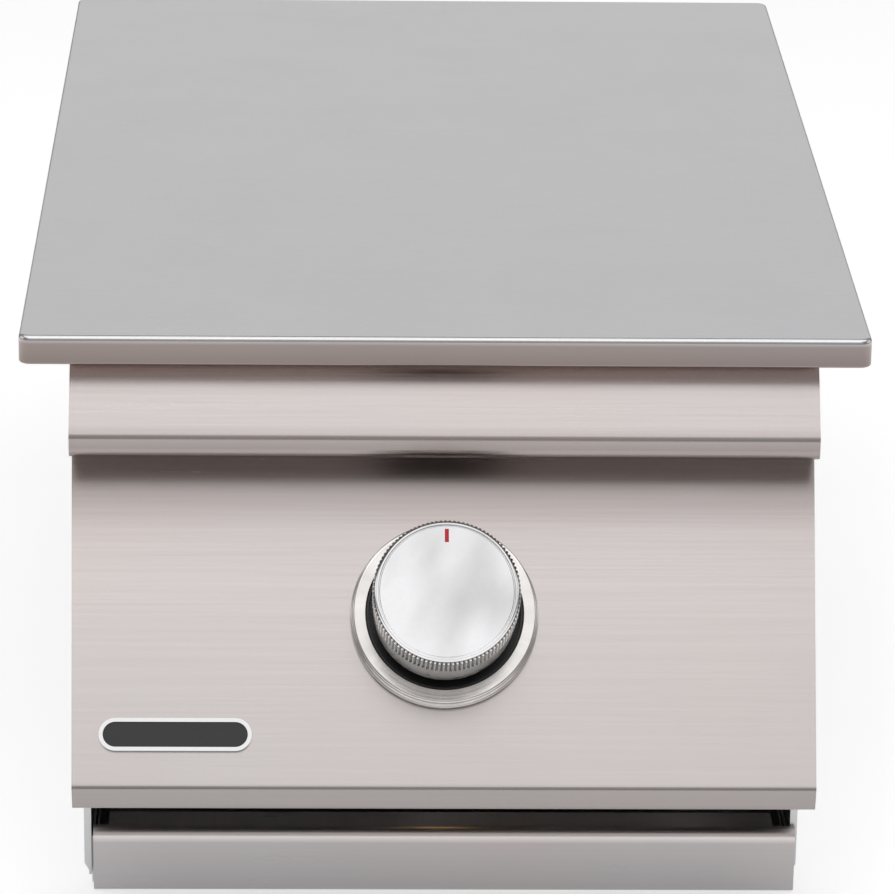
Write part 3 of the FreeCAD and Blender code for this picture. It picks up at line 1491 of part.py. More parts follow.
for build in (
    lid, lid_ribs, lid_bumpers, deck, counter_seals, grate_frame, grate, lip, control_panel,
):
    build()
both_sides(side_wall)
both_sides(runner)
for build in (
    front_rail, firewall, rear_wall, tray, bezel, badge, knob, valve_stem, thrust_washer,
    valve_spring, valve_plug, valve_body, valve_bonnet, orifice, piezo, gas_pipe, inlet,
    venturi, shutter, burner, burner_bracket, igniter, lead, grommet,
):
    build()
doc.recompute()

# Every object must have rebuilt, and every sub-part must be a sound solid
for item in doc.Objects:
    if {"Invalid", "Error"} & set(item.State):
        raise RuntimeError(f"{item.Label} ({item.Name}) did not rebuild")
for node in NODES:
    if node.Shape.isNull() or not node.Shape.isValid() or not node.Shape.Solids:
        raise RuntimeError(f"{node.Label} is not a sound solid")

os.makedirs("parts", exist_ok=True)
for node in NODES:
    node.Shape.exportStep(f"parts/{node.Label}.step")
whole = FreeCAD.BoundBox()
for node in NODES:
    whole.add(node.Shape.BoundBox)
print(len(NODES), "sub-parts,", whole)
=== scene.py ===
import logging
import math
from dataclasses import dataclass
from enum import Enum
from typing import Callable, Iterable, Sequence

import bpy
from mathutils import Euler, Matrix, Vector


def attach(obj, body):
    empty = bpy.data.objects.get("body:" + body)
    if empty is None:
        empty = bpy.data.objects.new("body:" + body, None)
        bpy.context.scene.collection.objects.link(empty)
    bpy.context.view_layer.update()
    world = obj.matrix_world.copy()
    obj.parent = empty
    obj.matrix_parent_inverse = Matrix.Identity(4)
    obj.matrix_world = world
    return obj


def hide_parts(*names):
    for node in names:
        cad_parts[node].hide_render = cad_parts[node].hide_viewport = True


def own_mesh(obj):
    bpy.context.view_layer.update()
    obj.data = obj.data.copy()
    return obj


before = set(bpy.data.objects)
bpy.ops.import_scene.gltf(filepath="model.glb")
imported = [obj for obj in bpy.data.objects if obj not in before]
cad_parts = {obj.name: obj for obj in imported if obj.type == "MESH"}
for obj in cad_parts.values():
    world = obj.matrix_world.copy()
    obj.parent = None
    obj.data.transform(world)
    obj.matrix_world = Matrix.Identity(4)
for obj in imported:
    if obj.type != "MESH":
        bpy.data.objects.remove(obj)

LOG = logging.getLogger("side_burner")
MM = 0.001
Colour = tuple[float, float, float]
Point = tuple[float, float, float]
Profile = Sequence[tuple[float, float]]
Piece = bpy.types.Object
Socket = bpy.types.NodeSocket

# The knob's axis stands square to the panel: where it meets it in millimetres, and its lean from
# upright in degrees.
KNOB_PLACE: Point = (0.0, -256.793, 127.411)
KNOB_TILT = 54.0


class Grain(Enum):
    """Which axis the brushing runs along."""

    ACROSS = 0
    ALONG = 1
    UPRIGHT = 2


class Body(Enum):
    """The bodies that pieces ride on."""

    BOX = "box"
    LID = "lid"
    GRATE = "grate"
    CAP = "burner_cap"
    TRAY = "drip_tray"
    SHUTTER = "air_shutter"
    KNOB = "knob"


# Finishes


class Nodes:
    """A material's node tree, with short ways to add to it."""

    def __init__(self, name: str) -> None:
        """Start an empty material, of this name, with a Principled shader."""
        material = bpy.data.materials.new(name)
        material.use_nodes = True
        self.material = material
        self.shader = material.node_tree.nodes["Principled BSDF"]
        self.place = self.add("ShaderNodeTexCoord").outputs["Object"]

    def feed(self, target: Socket, value: object) -> None:
        """Link an output to a socket, or set the socket's constant."""
        if isinstance(value, Socket):
            self.material.node_tree.links.new(value, target)
        else:
            target.default_value = value

    def fill(self, node: bpy.types.Node, **values: object) -> None:
        """Set what a node does and works on.

        Args:
            node: The node.
            **values: Its properties, and its inputs by name, as outputs or constants.
        """
        for key, value in values.items():
            if hasattr(node, key):
                setattr(node, key, value)
            else:
                self.feed(node.inputs[key.replace("_", " ")], value)

    def add(self, kind: str, **values: object) -> bpy.types.Node:
        """Add a node.

        Args:
            kind: The node's type.
            **values: As for fill.

        Returns:
            The new node.
        """
        node = self.material.node_tree.nodes.new(kind)
        self.fill(node, **values)
        return node

    def compute(self, operation: str, *values: object, vector: bool = False) -> Socket:
        """Do arithmetic.

        Args:
            operation: What to do.
            *values: Its inputs in order, as outputs or constants.
            vector: Whether the first input is a vector.

        Returns:
            The result's output.
        """
        kind = "ShaderNodeVectorMath" if vector else "ShaderNodeMath"
        node = self.add(kind, operation=operation)
        for target, value in zip([entry for entry in node.inputs if entry.enabled], values):
            self.feed(target, value)
        return next(result for result in node.outputs if result.enabled)

    def scaled(self, scale: Sequence[float], turn: Point = (0, 0, 0), centre: Point = (0, 0, 0)
               ) -> Socket:
        """Object coordinates about a centre, turned and stretched.

        Args:
            scale: Stretch along each turned axis.
            turn: Turn about each axis, in degrees.
            centre: The point that becomes zero, in millimetres.

        Returns:
            The vector output.
        """
        vector = self.place
        for key, value in (("Location", [-number * MM for number in centre]),
                           ("Rotation", [math.radians(angle) for angle in turn]),
                           ("Scale", scale)):
            vector = self.add("ShaderNodeMapping", Vector=vector, **{key: value}).outputs["Vector"]
        return vector

    def noise(self, vector: Socket, scale: float, detail: float = 3.0) -> Socket:
        """Noise at a scale, about 0.5.

        Args:
            vector: Where to read it.
            scale: Repeats per unit of the vector.
            detail: Finer layers.

        Returns:
            The value output.
        """
        return self.add("ShaderNodeTexNoise", Vector=vector, Scale=scale, Detail=detail,
                        Roughness=0.6).outputs["Fac"]

    def span(self, value: Socket, low: float, high: float, start: float = 0.3, end: float = 0.7
             ) -> Socket:
        """Map a value's middle range onto another range.

        Args:
            value: The value output to map.
            low: Result at start.
            high: Result at end.
            start: Lower end of the range that is read.
            end: Upper end of the range that is read.

        Returns:
            The mapped output.
        """
        return self.add("ShaderNodeMapRange", Value=value, From_Min=start, From_Max=end,
                        To_Min=low, To_Max=high).outputs["Result"]

    def blend(self, factor: Socket, first: Colour | Socket, second: Colour | Socket) -> Socket:
        """A colour between two: the first at a factor of 0, the second at 1.

        Args:
            factor: The value output that mixes them.
            first: First colour, or its output.
            second: Second colour, or its output.

        Returns:
            The colour output.
        """
        ends = [end if isinstance(end, Socket) else (*end, 1.0) for end in (first, second)]
        return self.add("ShaderNodeMix", data_type="RGBA", Factor=factor, A=ends[0],
                        B=ends[1]).outputs["Result"]

    def paint_light_by_height(self, colour: Socket, painted_light_stops: Sequence[tuple[float, Colour]]) -> Socket:
        """Paint shade and highlights into a colour by how high it lies.

        Args:
            colour: The colour output to tint.
            painted_light_stops: Heights in millimetres, rising, and the painted shade or highlight
                factor at each.

        Returns:
            The output with shade and highlights painted in.
        """
        low, high = painted_light_stops[0][0], painted_light_stops[-1][0]
        height = self.add("ShaderNodeSeparateXYZ", Vector=self.place).outputs["Z"]
        ramp = self.add("ShaderNodeValToRGB", Fac=self.span(height, 0.0, 1.0, low * MM, high * MM))
        points = ramp.color_ramp.elements
        for index, (level, tint) in enumerate(painted_light_stops):
            share = (level - low) / (high - low)
            point = points[index] if index < 2 else points.new(share)
            point.position = share
            point.color = (*tint, 1.0)
        return self.compute("MULTIPLY", colour, ramp.outputs["Color"], vector=True)

    def coat(self, colour: Socket, roughness: Socket | float, metal: float = 1.0) -> None:
        """Give the shader its colour and roughness, and say how metallic it is."""
        self.fill(self.shader, Base_Color=colour, Roughness=roughness, Metallic=metal)

    def bump(self, height: Socket, distance: float, strength: float = 0.5) -> None:
        """Roughen the shader's normal.

        Args:
            height: The value output to read as height.
            distance: Height of 1, in metres.
            strength: Share of the effect.
        """
        node = self.add("ShaderNodeBump", Strength=strength, Distance=distance, Height=height)
        self.feed(self.shader.inputs["Normal"], node.outputs["Normal"])


def shade(colour: Colour, factor: float, warm: float = 0.0) -> Colour:
    """A colour made lighter or darker, and warmer or cooler."""
    red, green, blue = colour
    return (red * factor * (1 + warm), green * factor, blue * factor * (1 - warm))


@dataclass(frozen=True)
class Finish:
    """What a surface is made of."""

    name: str
    colour: Colour

    def material(self) -> bpy.types.Material:
        """The finish's material, made once."""
        name = f"{self.name}_finish"
        if name not in bpy.data.materials:
            self.make(Nodes(name))
        return bpy.data.materials[name]

    def make(self, nodes: Nodes) -> None:
        """Build the material in its empty tree."""
        raise NotImplementedError


@dataclass(frozen=True)
class BrushedSteel(Finish):
    """Sheet steel with straight brushing, faint handling marks, and painted shade and highlight by
    height.

    Lines, patches and smudges are repeats to the metre, relief is in metres, and stretch is how
    much longer than wide a brushed line is.
    """

    grain: Grain = Grain.ACROSS
    roughness: float = 0.3
    streak: float = 0.045
    lines: float = 900.0
    relief: float = 2.2e-5
    stretch: float = 90.0
    coarser: float = 5.0
    patches: float = 7.0
    smudges: float = 16.0
    # Painted shade and highlights: heights in millimetres, and the colour factor at each.
    painted_light_stops: tuple[tuple[float, Colour], ...] = ()

    def make(self, nodes: Nodes) -> None:
        """Build the material: stretched noise for the brushing, wide noise for the sheet."""
        thin = [self.lines / self.stretch if axis == self.grain.value else self.lines
                for axis in range(3)]
        fine = nodes.noise(nodes.scaled(thin), 1.0, 4.0)
        broad = nodes.noise(nodes.scaled([value / self.coarser for value in thin]), 1.0, 2.0)
        both = nodes.compute("MULTIPLY_ADD", fine, 0.65, nodes.span(broad, 0.0, 0.35, 0.0, 1.0))
        streaks = nodes.span(both, 0.0, 1.0, 0.32, 0.68)
        cool, warm = (nodes.blend(streaks, shade(self.colour, 1 - self.streak, warmth),
                                  shade(self.colour, 1 + self.streak, warmth))
                      for warmth in (-0.006, 0.01))
        cloud = nodes.noise(nodes.place, self.patches, 2.0)
        sheet = nodes.blend(nodes.span(cloud, 0.0, 1.0, 0.35, 0.65), cool, warm)
        # Paint shade and highlights into the sheet by height.
        if self.painted_light_stops:
            sheet = nodes.paint_light_by_height(sheet, self.painted_light_stops)
        rough = nodes.span(streaks, self.roughness - 0.035, self.roughness + 0.035, 0.0, 1.0)
        smudge = nodes.span(nodes.noise(nodes.place, self.smudges, 4.0), -0.02, 0.03)
        nodes.coat(sheet, nodes.compute("ADD", rough, smudge))
        nodes.bump(both, self.relief)


@dataclass(frozen=True)
class KnobFinish(Finish):
    """A finish that follows the knob's axis."""

    def flattened(self, nodes: Nodes) -> Socket:
        """Object coordinates from the knob's centre, flattened along its axis."""
        return nodes.scaled((1.0, 1.0, 0.0), (-KNOB_TILT, 0, 0), KNOB_PLACE)


@dataclass(frozen=True)
class TurnedMetal(KnobFinish):
    """Metal turned about the knob's axis, with so many rings to the metre."""

    rings: float
    roughness: float
    streak: float
    relief: float
    patches: float = 2.6

    def make(self, nodes: Nodes) -> None:
        """Build the material: rings by distance from the axis, and patches round it."""
        flat = self.flattened(nodes)
        away = nodes.compute("LENGTH", flat, vector=True)
        ring = nodes.add("ShaderNodeTexNoise", noise_dimensions="1D", W=away, Scale=self.rings,
                         Detail=3.0).outputs["Fac"]
        rings = nodes.span(ring, 0.0, 1.0)
        tint = nodes.blend(rings, shade(self.colour, 1 - self.streak),
                           shade(self.colour, 1 + self.streak))
        around = nodes.compute("NORMALIZE", flat, vector=True)
        patch = nodes.span(nodes.noise(around, self.patches), 0.86, 1.06)
        nodes.coat(nodes.compute("SCALE", tint, patch, vector=True),
                   nodes.span(rings, self.roughness - 0.05, self.roughness + 0.05, 0.0, 1.0))
        nodes.bump(ring, self.relief)


@dataclass(frozen=True)
class Knurled(KnobFinish):
    """Plated knurling with painted shade in its roots: full colour on the crests, dim in the
    roots, both radii in millimetres.
    """

    root: float
    crest: float
    dim: float = 0.16
    roughness: float = 0.16
    scuffs: float = 700.0
    relief: float = 1.0e-5

    def make(self, nodes: Nodes) -> None:
        """Build the material: painted shade by the distance from the axis, darkest at the root
        radius, with fine scuffs.
        """
        away = nodes.compute("LENGTH", self.flattened(nodes), vector=True)
        height = nodes.span(away, 0.0, 1.0, self.root * MM, self.crest * MM)
        scuff = nodes.noise(nodes.place, self.scuffs, 4.0)
        # Painted shade: the roots darken to dim times the colour, and the crests keep the full
        # colour.
        nodes.coat(nodes.blend(height, shade(self.colour, self.dim, 0.04), self.colour),
                   nodes.span(scuff, self.roughness * 0.8, self.roughness * 1.3))
        nodes.bump(scuff, self.relief)


@dataclass(frozen=True)
class Polished(Finish):
    """Bright plated or drawn metal: wave and scuffs are repeats to the metre."""

    roughness: float
    wave: float
    relief: float
    haze: float = 0.0
    scuffs: float = 420.0

    def make(self, nodes: Nodes) -> None:
        """Build the material, with hazy patches where the plating is uneven."""
        scuff = nodes.noise(nodes.place, self.scuffs, 5.0)
        plate = nodes.blend(nodes.span(scuff, 0.0, 1.0), shade(self.colour, 0.97), self.colour)
        if self.haze:
            patch = nodes.noise(nodes.scaled((1.6, 0.6, 0.8), (0, 0, 35.0)), self.wave, 1.5)
            dim = nodes.span(patch, 1.0, 1.0 - self.haze, 0.46, 0.72)
            plate = nodes.compute("SCALE", plate, dim, vector=True)
        nodes.coat(plate, nodes.span(scuff, self.roughness * 0.8, self.roughness * 1.5))
        nodes.bump(nodes.noise(nodes.place, self.wave, 1.0), self.relief, 1.0)


@dataclass(frozen=True)
class Cast(Finish):
    """Cast or blasted metal: its grains and darker hollows are repeats to the metre."""

    grains: float
    roughness: float
    relief: float
    hollows: float = 45.0

    def make(self, nodes: Nodes) -> None:
        """Build the material."""
        grain = nodes.noise(nodes.place, self.grains, 5.0)
        hollow = nodes.span(nodes.noise(nodes.place, self.hollows, 4.0), 0.0, 1.0)
        nodes.coat(nodes.blend(hollow, shade(self.colour, 0.82, 0.03), self.colour),
                   nodes.span(grain, self.roughness - 0.08, self.roughness + 0.1))
        nodes.bump(grain, self.relief, 0.6)


@dataclass(frozen=True)
class Moulded(Finish):
    """Plastic, enamel, rubber or glaze: texture and clouds are repeats to the metre."""

    roughness: float
    texture: float
    relief: float
    dust: float
    clouds: float = 60.0

    def make(self, nodes: Nodes) -> None:
        """Build the material."""
        grain = nodes.noise(nodes.place, self.texture)
        cloud = nodes.noise(nodes.place, self.clouds, 4.0)
        tint = nodes.blend(nodes.span(cloud, 0.0, 1.0), self.colour,
                           shade(self.colour, self.dust))
        rough = nodes.span(cloud, self.roughness - 0.05, self.roughness + 0.08)
        nodes.coat(tint, rough, metal=0.0)
        nodes.bump(grain, self.relief)


# The lid's stops paint shade into its front rim: darker and warmer below the top bend, reaching
# full colour at the top.
LID_STEEL = BrushedSteel(
    "lid_steel", (0.675, 0.672, 0.68), Grain.ACROSS, 0.22, 0.02, 700.0, 1.6e-5, painted_light_stops=(
        (232.0, (0.44, 0.365, 0.34)), (241.5, (0.57, 0.49, 0.455)), (243.4, (0.90, 0.88, 0.88)),
        (244.6, (1.0, 1.0, 1.0))))
DECK_STEEL = BrushedSteel("deck_steel", (0.64, 0.64, 0.64))
# The panel's stops paint shade on the hem, under the lip and on the lip's nose, and a painted
# highlight at the top of the lip's slant.
PANEL_STEEL = BrushedSteel("panel_steel", (0.59, 0.545, 0.535), Grain.ACROSS, 0.23, 0.04, painted_light_stops=(
    (57.0, (0.57, 0.56, 0.56)), (66.5, (0.60, 0.60, 0.59)), (69.0, (0.97, 0.97, 0.97)),
    (140.0, (1.0, 1.0, 1.0)), (158.0, (0.93, 0.92, 0.92)), (166.0, (0.74, 0.72, 0.72)),
    (176.0, (0.53, 0.51, 0.50)), (184.0, (0.50, 0.48, 0.47)), (190.2, (0.66, 0.63, 0.62)),
    (191.4, (0.46, 0.44, 0.43)), (194.5, (0.60, 0.57, 0.56)), (199.0, (0.74, 0.71, 0.70)),
    (202.5, (0.84, 0.82, 0.81)), (206.0, (0.96, 0.96, 0.96)), (224.0, (0.97, 0.96, 0.96)),
    (227.0, (1.25, 1.2, 1.19))))
WALL_STEEL = BrushedSteel("wall_steel", (0.56, 0.56, 0.56), Grain.ALONG, 0.36, 0.04)
UPRIGHT_STEEL = BrushedSteel("upright_steel", (0.56, 0.56, 0.56), Grain.UPRIGHT, 0.36, 0.04)
# The tray's stops paint shade on its front face, below its lighter top bend.
TRAY_STEEL = BrushedSteel("tray_steel", (0.76, 0.73, 0.73), Grain.ACROSS, 0.3, 0.03, painted_light_stops=(
    (0.0, (0.57, 0.57, 0.58)), (23.0, (0.59, 0.58, 0.58)), (26.5, (0.98, 0.94, 0.92)),
    (40.0, (1.0, 1.0, 1.0))))
GRATE_STEEL = Polished("grate_steel", (0.60, 0.60, 0.60), 0.22, 90.0, 4.0e-5)
TUBE_STEEL = Polished("tube_steel", (0.58, 0.57, 0.56), 0.3, 60.0, 5.0e-5)
FASTENER_STEEL = Polished("fastener_steel", (0.62, 0.62, 0.62), 0.2, 200.0, 1.0e-5)
SPRING_STEEL = Polished("spring_steel", (0.42, 0.42, 0.44), 0.24, 300.0, 1.0e-5)
CHROME = Polished("knob_chrome", (0.82, 0.82, 0.83), 0.06, 26.0, 1.2e-5, 0.3)
SLEEVE_CHROME = Polished("sleeve_chrome", (0.80, 0.785, 0.77), 0.3, 90.0, 1.0e-5, 0.2)
# Painted shade in the knurl's roots, between 30.25 and 31 mm from the axis.
KNURL_CHROME = Knurled("knurl_chrome", (0.82, 0.81, 0.80), 30.25, 31.0)
BEZEL_STEEL = TurnedMetal("bezel_steel", (0.80, 0.775, 0.755), 700.0, 0.17, 0.012, 4.0e-6)
BADGE_CHROME = Polished("badge_chrome", (0.78, 0.78, 0.78), 0.09, 60.0, 1.0e-5)
BRASS = Polished("machined_brass", (0.72, 0.50, 0.22), 0.24, 160.0, 2.0e-5)
BURNER_BRASS = Cast("cast_brass", (0.62, 0.43, 0.19), 1100.0, 0.4, 5.0e-5)
ZINC = Cast("cast_zinc", (0.50, 0.50, 0.52), 1500.0, 0.38, 3.0e-5)
BADGE_BLACK = Moulded("badge_black", (0.02, 0.02, 0.021), 0.32, 3200.0, 8.0e-6, 1.5)
BLACK_PLASTIC = Moulded("black_plastic", (0.022, 0.021, 0.021), 0.3, 2400.0, 1.2e-5, 1.5)
RED_MARK = Moulded("red_mark", (0.66, 0.012, 0.03), 0.4, 3000.0, 6.0e-6, 0.85)
CERAMIC = Moulded("ceramic_white", (0.74, 0.71, 0.65), 0.24, 800.0, 2.0e-5, 0.92)
RUBBER = Moulded("rubber_black", (0.025, 0.024, 0.023), 0.7, 1800.0, 4.0e-5, 1.4)
LEAD_SLEEVE = Moulded("lead_sleeve", (0.62, 0.58, 0.50), 0.6, 1400.0, 3.0e-5, 0.88)


# Bench: one piece at a time, shaped in edit mode. Sizes are in millimetres, and those of a turned
# piece are radii and heights.


def choose(*pieces: Piece) -> None:
    """Select only these pieces, and make the first one active."""
    bpy.ops.object.select_all(action="DESELECT")
    for piece in pieces:
        piece.select_set(True)
    bpy.context.view_layer.objects.active = pieces[0]


def settle(piece: Piece) -> None:
    """Apply a piece's place, turn and scale to its mesh."""
    choose(piece)
    bpy.ops.object.transform_apply(location=True, rotation=True, scale=True)


def label(piece: Piece, name: str) -> None:
    """Name a piece and its mesh."""
    piece.name = name
    piece.data.name = name


@dataclass(frozen=True)
class Station:
    """A place to build at: its zero point in millimetres, and how it is turned."""

    zero: Point
    turn: Point = (0.0, 0.0, 0.0)

    def place(self, piece: Piece) -> Piece:
        """Move a piece, built about the origin, to this place, and apply it."""
        piece.location = [value * MM for value in self.zero]
        piece.rotation_euler = [math.radians(value) for value in self.turn]
        settle(piece)
        return piece


ON_KNOB = Station(KNOB_PLACE, (KNOB_TILT, 0.0, 0.0))
ON_BADGE = Station((-113.9, -287.123, 85.666), ON_KNOB.turn)


def begin(name: str, size: float, place: Point = (0.0, 0.0, 0.0)) -> Piece:
    """Add a square plane and open it for editing.

    Args:
        name: The piece's name.
        size: Its side, in millimetres.
        place: Its middle, in millimetres.

    Returns:
        The new object, in edit mode, all selected.
    """
    bpy.ops.object.select_all(action="DESELECT")
    bpy.ops.mesh.primitive_plane_add(size=size * MM, location=[value * MM for value in place])
    piece = bpy.context.object
    label(piece, name)
    settle(piece)
    bpy.ops.object.mode_set(mode="EDIT")
    bpy.ops.mesh.select_mode(type="VERT")
    bpy.ops.mesh.select_all(action="SELECT")
    return piece


def pick(piece: Piece, kind: str, wanted: Callable[[Vector, Vector], bool]) -> None:
    """Select vertices, edges or faces by their place and normal.

    Args:
        piece: The object in edit mode.
        kind: VERT, EDGE or FACE.
        wanted: Test of a middle point in millimetres and a normal, or an edge's direction.
    """
    bpy.ops.mesh.select_mode(type=kind)
    bpy.ops.mesh.select_all(action="DESELECT")
    bpy.ops.object.mode_set(mode="OBJECT")
    mesh = piece.data
    if kind == "VERT":
        for vertex in mesh.vertices:
            vertex.select = wanted(vertex.co / MM, vertex.normal)
    elif kind == "FACE":
        for face in mesh.polygons:
            face.select = wanted(face.center / MM, face.normal)
    else:
        for edge in mesh.edges:
            first, second = (mesh.vertices[index].co / MM for index in edge.vertices)
            edge.select = wanted((first + second) / 2, (second - first).normalized())
    bpy.ops.object.mode_set(mode="EDIT")


def weld(reach: float) -> None:
    """Merge all vertices closer than a reach in metres, and leave all selected."""
    bpy.ops.mesh.select_all(action="SELECT")
    bpy.ops.mesh.remove_doubles(threshold=reach)
    bpy.ops.mesh.select_all(action="SELECT")


def extrude(height: float) -> None:
    """Extrude the selection along Z, by millimetres."""
    bpy.ops.mesh.extrude_region_move(TRANSFORM_OT_translate={"value": (0, 0, height * MM)})


def close_up(piece: Piece, angle: float, bevel: float = 0.0, segments: int = 2) -> Piece:
    """Leave edit mode, soften the sharp edges and smooth the rest.

    Args:
        piece: The object in edit mode.
        angle: Edges sharper than this stay crisp or are bevelled, in degrees.
        bevel: Width of the bevel, in millimetres.
        segments: Faces across the bevel.

    Returns:
        The same object.
    """
    bpy.ops.object.mode_set(mode="OBJECT")
    choose(piece)
    bpy.ops.object.shade_smooth_by_angle(angle=math.radians(angle))
    if bevel:
        soften = piece.modifiers.new("Edge", "BEVEL")
        soften.width = bevel * MM
        soften.segments = segments
        soften.limit_method = "ANGLE"
        soften.angle_limit = math.radians(angle)
        soften.harden_normals = True
        bpy.ops.object.modifier_apply(modifier=soften.name)
    return piece


def spin_up(name: str, outline: Profile, steps: int, closed: bool = True) -> Piece:
    """Spin an outline of radius and height about Z, starting from one vertex.

    Args:
        name: The piece's name.
        outline: Radius and height of each corner, in millimetres.
        steps: Faces round the axis.
        closed: Whether the last corner joins the first.

    Returns:
        The object in edit mode, all selected.
    """
    radius, height = outline[0]
    piece = begin(name, 1.0, (radius, 0, height))
    bpy.ops.mesh.merge(type="CENTER")
    corners = list(outline[1:]) + ([outline[0]] if closed else [])
    for across, up in corners:
        step = ((across - radius) * MM, 0, (up - height) * MM)
        bpy.ops.mesh.extrude_vertices_move(TRANSFORM_OT_translate={"value": step})
        radius, height = across, up
    weld(0.5e-6)
    bpy.ops.mesh.spin(steps=steps, angle=2 * math.pi, center=(0, 0, 0), axis=(0, 0, 1))
    weld(1.0e-6)
    bpy.ops.mesh.normals_make_consistent(inside=False)
    return piece


def repeated(piece: Piece, stations: Iterable[Station], name: str) -> Piece:
    """Copy a piece to each station, each copy with its own mesh, and join them.

    Args:
        piece: The piece, built about the origin.
        stations: Where the copies stand.
        name: Name of the joined piece.

    Returns:
        One object with every copy.
    """
    copies = []
    for station in stations:
        choose(piece)
        bpy.ops.object.duplicate(linked=False)
        copies.append(station.place(bpy.context.object))
    bpy.data.objects.remove(piece)
    choose(*copies)
    bpy.ops.object.join()
    label(copies[0], name)
    return copies[0]


def dress(piece: Piece, finish: Finish, body: Body, slot: str, *nodes: str) -> None:
    """Give a new piece its finish and tie it to the frame.

    Args:
        piece: The finished mesh.
        finish: What it is made of.
        body: What it moves with.
        slot: The record's material slot; not used.
        *nodes: CAD nodes that it stands for.
    """
    if not piece.data.polygons:
        raise ValueError(f"{piece.name} has no faces")
    piece.data.materials.clear()
    piece.data.materials.append(finish.material())
    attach(piece, body.value)
    if nodes:
        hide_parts(*nodes)
    LOG.info("%s: %d faces, rides on %s", piece.name, len(piece.data.polygons), body.value)


@dataclass
class ControlKnob:
    """Polished shell with a dished face, and the straight-knurled band round it."""

    stand: float = 46.8
    face: float = 29.7
    body: float = 30.4
    grip: float = 31.1
    seat: float = 29.4
    grip_top: float = 45.6
    grip_foot: float = 30.4
    foot: float = 13.0
    skirt: float = 28.9
    skirt_top: float = 19.6
    inner: float = 27.6
    roof: float = 43.1
    dish: float = 46.1
    teeth: int = 102
    tooth: float = 0.8

    def shell(self) -> None:
        """The chrome shell: rounded shoulder, fine groove, and a shallow dish."""
        rim = self.face - 0.9
        dish = [(rim - 0.15, self.dish - 0.5), (rim - 0.6, self.dish - 0.5),
                (rim - 0.75, self.dish), (rim * 0.8, self.dish - 0.1),
                (rim * 0.6, self.dish - 0.18), (rim * 0.4, self.dish - 0.24),
                (rim * 0.2, self.dish - 0.28), (0.0, self.dish - 0.3)]
        outline = [(0.0, self.roof), (self.inner, self.roof), (self.inner, self.skirt_top),
                   (self.seat, self.skirt_top), (self.seat, self.grip_top),
                   (self.body - 0.15, self.grip_top), (self.body - 0.15, self.grip_top + 0.3),
                   (self.face + 0.1, self.stand - 0.3), (self.face - 0.25, self.stand),
                   (rim, self.stand)]
        piece = spin_up("knob_shell_polished", outline + dish, 144, closed=False)
        dress(ON_KNOB.place(close_up(piece, 20.0, bevel=0.08)), CHROME, Body.KNOB, "knob_chrome",
              "knob_shell")

    def sleeve(self) -> None:
        """The smooth band between the knurling and the knob's foot."""
        outline = [(self.skirt, self.foot), (self.body - 0.5, self.foot),
                   (self.body, self.foot + 0.6), (self.body, self.grip_foot + 0.2),
                   (self.skirt, self.grip_foot + 0.2)]
        piece = spin_up("knob_sleeve_smooth", outline, 144)
        dress(ON_KNOB.place(close_up(piece, 20.0, bevel=0.08)), SLEEVE_CHROME, Body.KNOB,
              "knob_chrome")

    def band(self) -> None:
        """The knurled band: one column in three of its outer wall is drawn in."""
        low, high = self.grip_foot, self.grip_top
        outline = [(self.seat, low), (self.grip - 0.7, low), (self.grip, low + 0.9),
                   (self.grip, high - 1.0), (self.grip - 0.8, high), (self.seat, high)]
        piece = spin_up("knob_band_knurled", outline, self.teeth * 3)
        draw_in_teeth(piece, self.teeth, self.grip, self.tooth, columns=3)
        dress(ON_KNOB.place(close_up(piece, 15.0)), KNURL_CHROME, Body.KNOB,
              "knob_chrome", "knob_grip_ring")

    def build(self) -> None:
        """Make the three pieces."""
        self.shell()
        self.sleeve()
        self.band()


def draw_in_teeth(piece: Piece, teeth: int, radius: float, depth: float, columns: int = 2
                  ) -> None:
    """Draw one column of each tooth of a turned wall inwards, as straight knurling.

    Args:
        piece: The object in edit mode, turned about Z in columns times teeth steps.
        teeth: How many teeth there are.
        radius: Radius of the wall, in millimetres.
        depth: How far the roots lie in, in millimetres.
        columns: Steps to a tooth; more of them leave a wider crest.
    """
    pitch = 2 * math.pi / (teeth * columns)
    pick(piece, "VERT", lambda point, normal: (
        point.xy.length > radius - 0.1
        and round(math.atan2(point.y, point.x) / pitch) % columns == 1))
    share = 1 - depth / radius
    bpy.ops.transform.resize(value=(share, share, 1.0))


@dataclass
class KnobBezel:
    """Raised steel ring: a flat face, a crisp outer edge and a stepped foot."""

    out: float = 40.1
    recess: float = 33.2
    foot: float = 0.8
    top: float = 9.0
    step: float = 0.8

    def build(self) -> None:
        """Spin the ring."""
        out, top = self.out, self.top
        outline = [(self.recess, self.foot), (out, self.foot), (out, self.foot + 2.6),
                   (out - self.step, self.foot + 3.0), (out - self.step, top - 0.9),
                   (out - self.step - 0.3, top - 0.3), (out - self.step - 0.9, top),
                   (self.recess + 0.5, top), (self.recess, top - 0.5)]
        piece = spin_up("knob_bezel_ring", outline, 160)
        dress(ON_KNOB.place(close_up(piece, 24.0, bevel=0.18)), BEZEL_STEEL, Body.BOX,
              "bezel_steel", "knob_bezel")


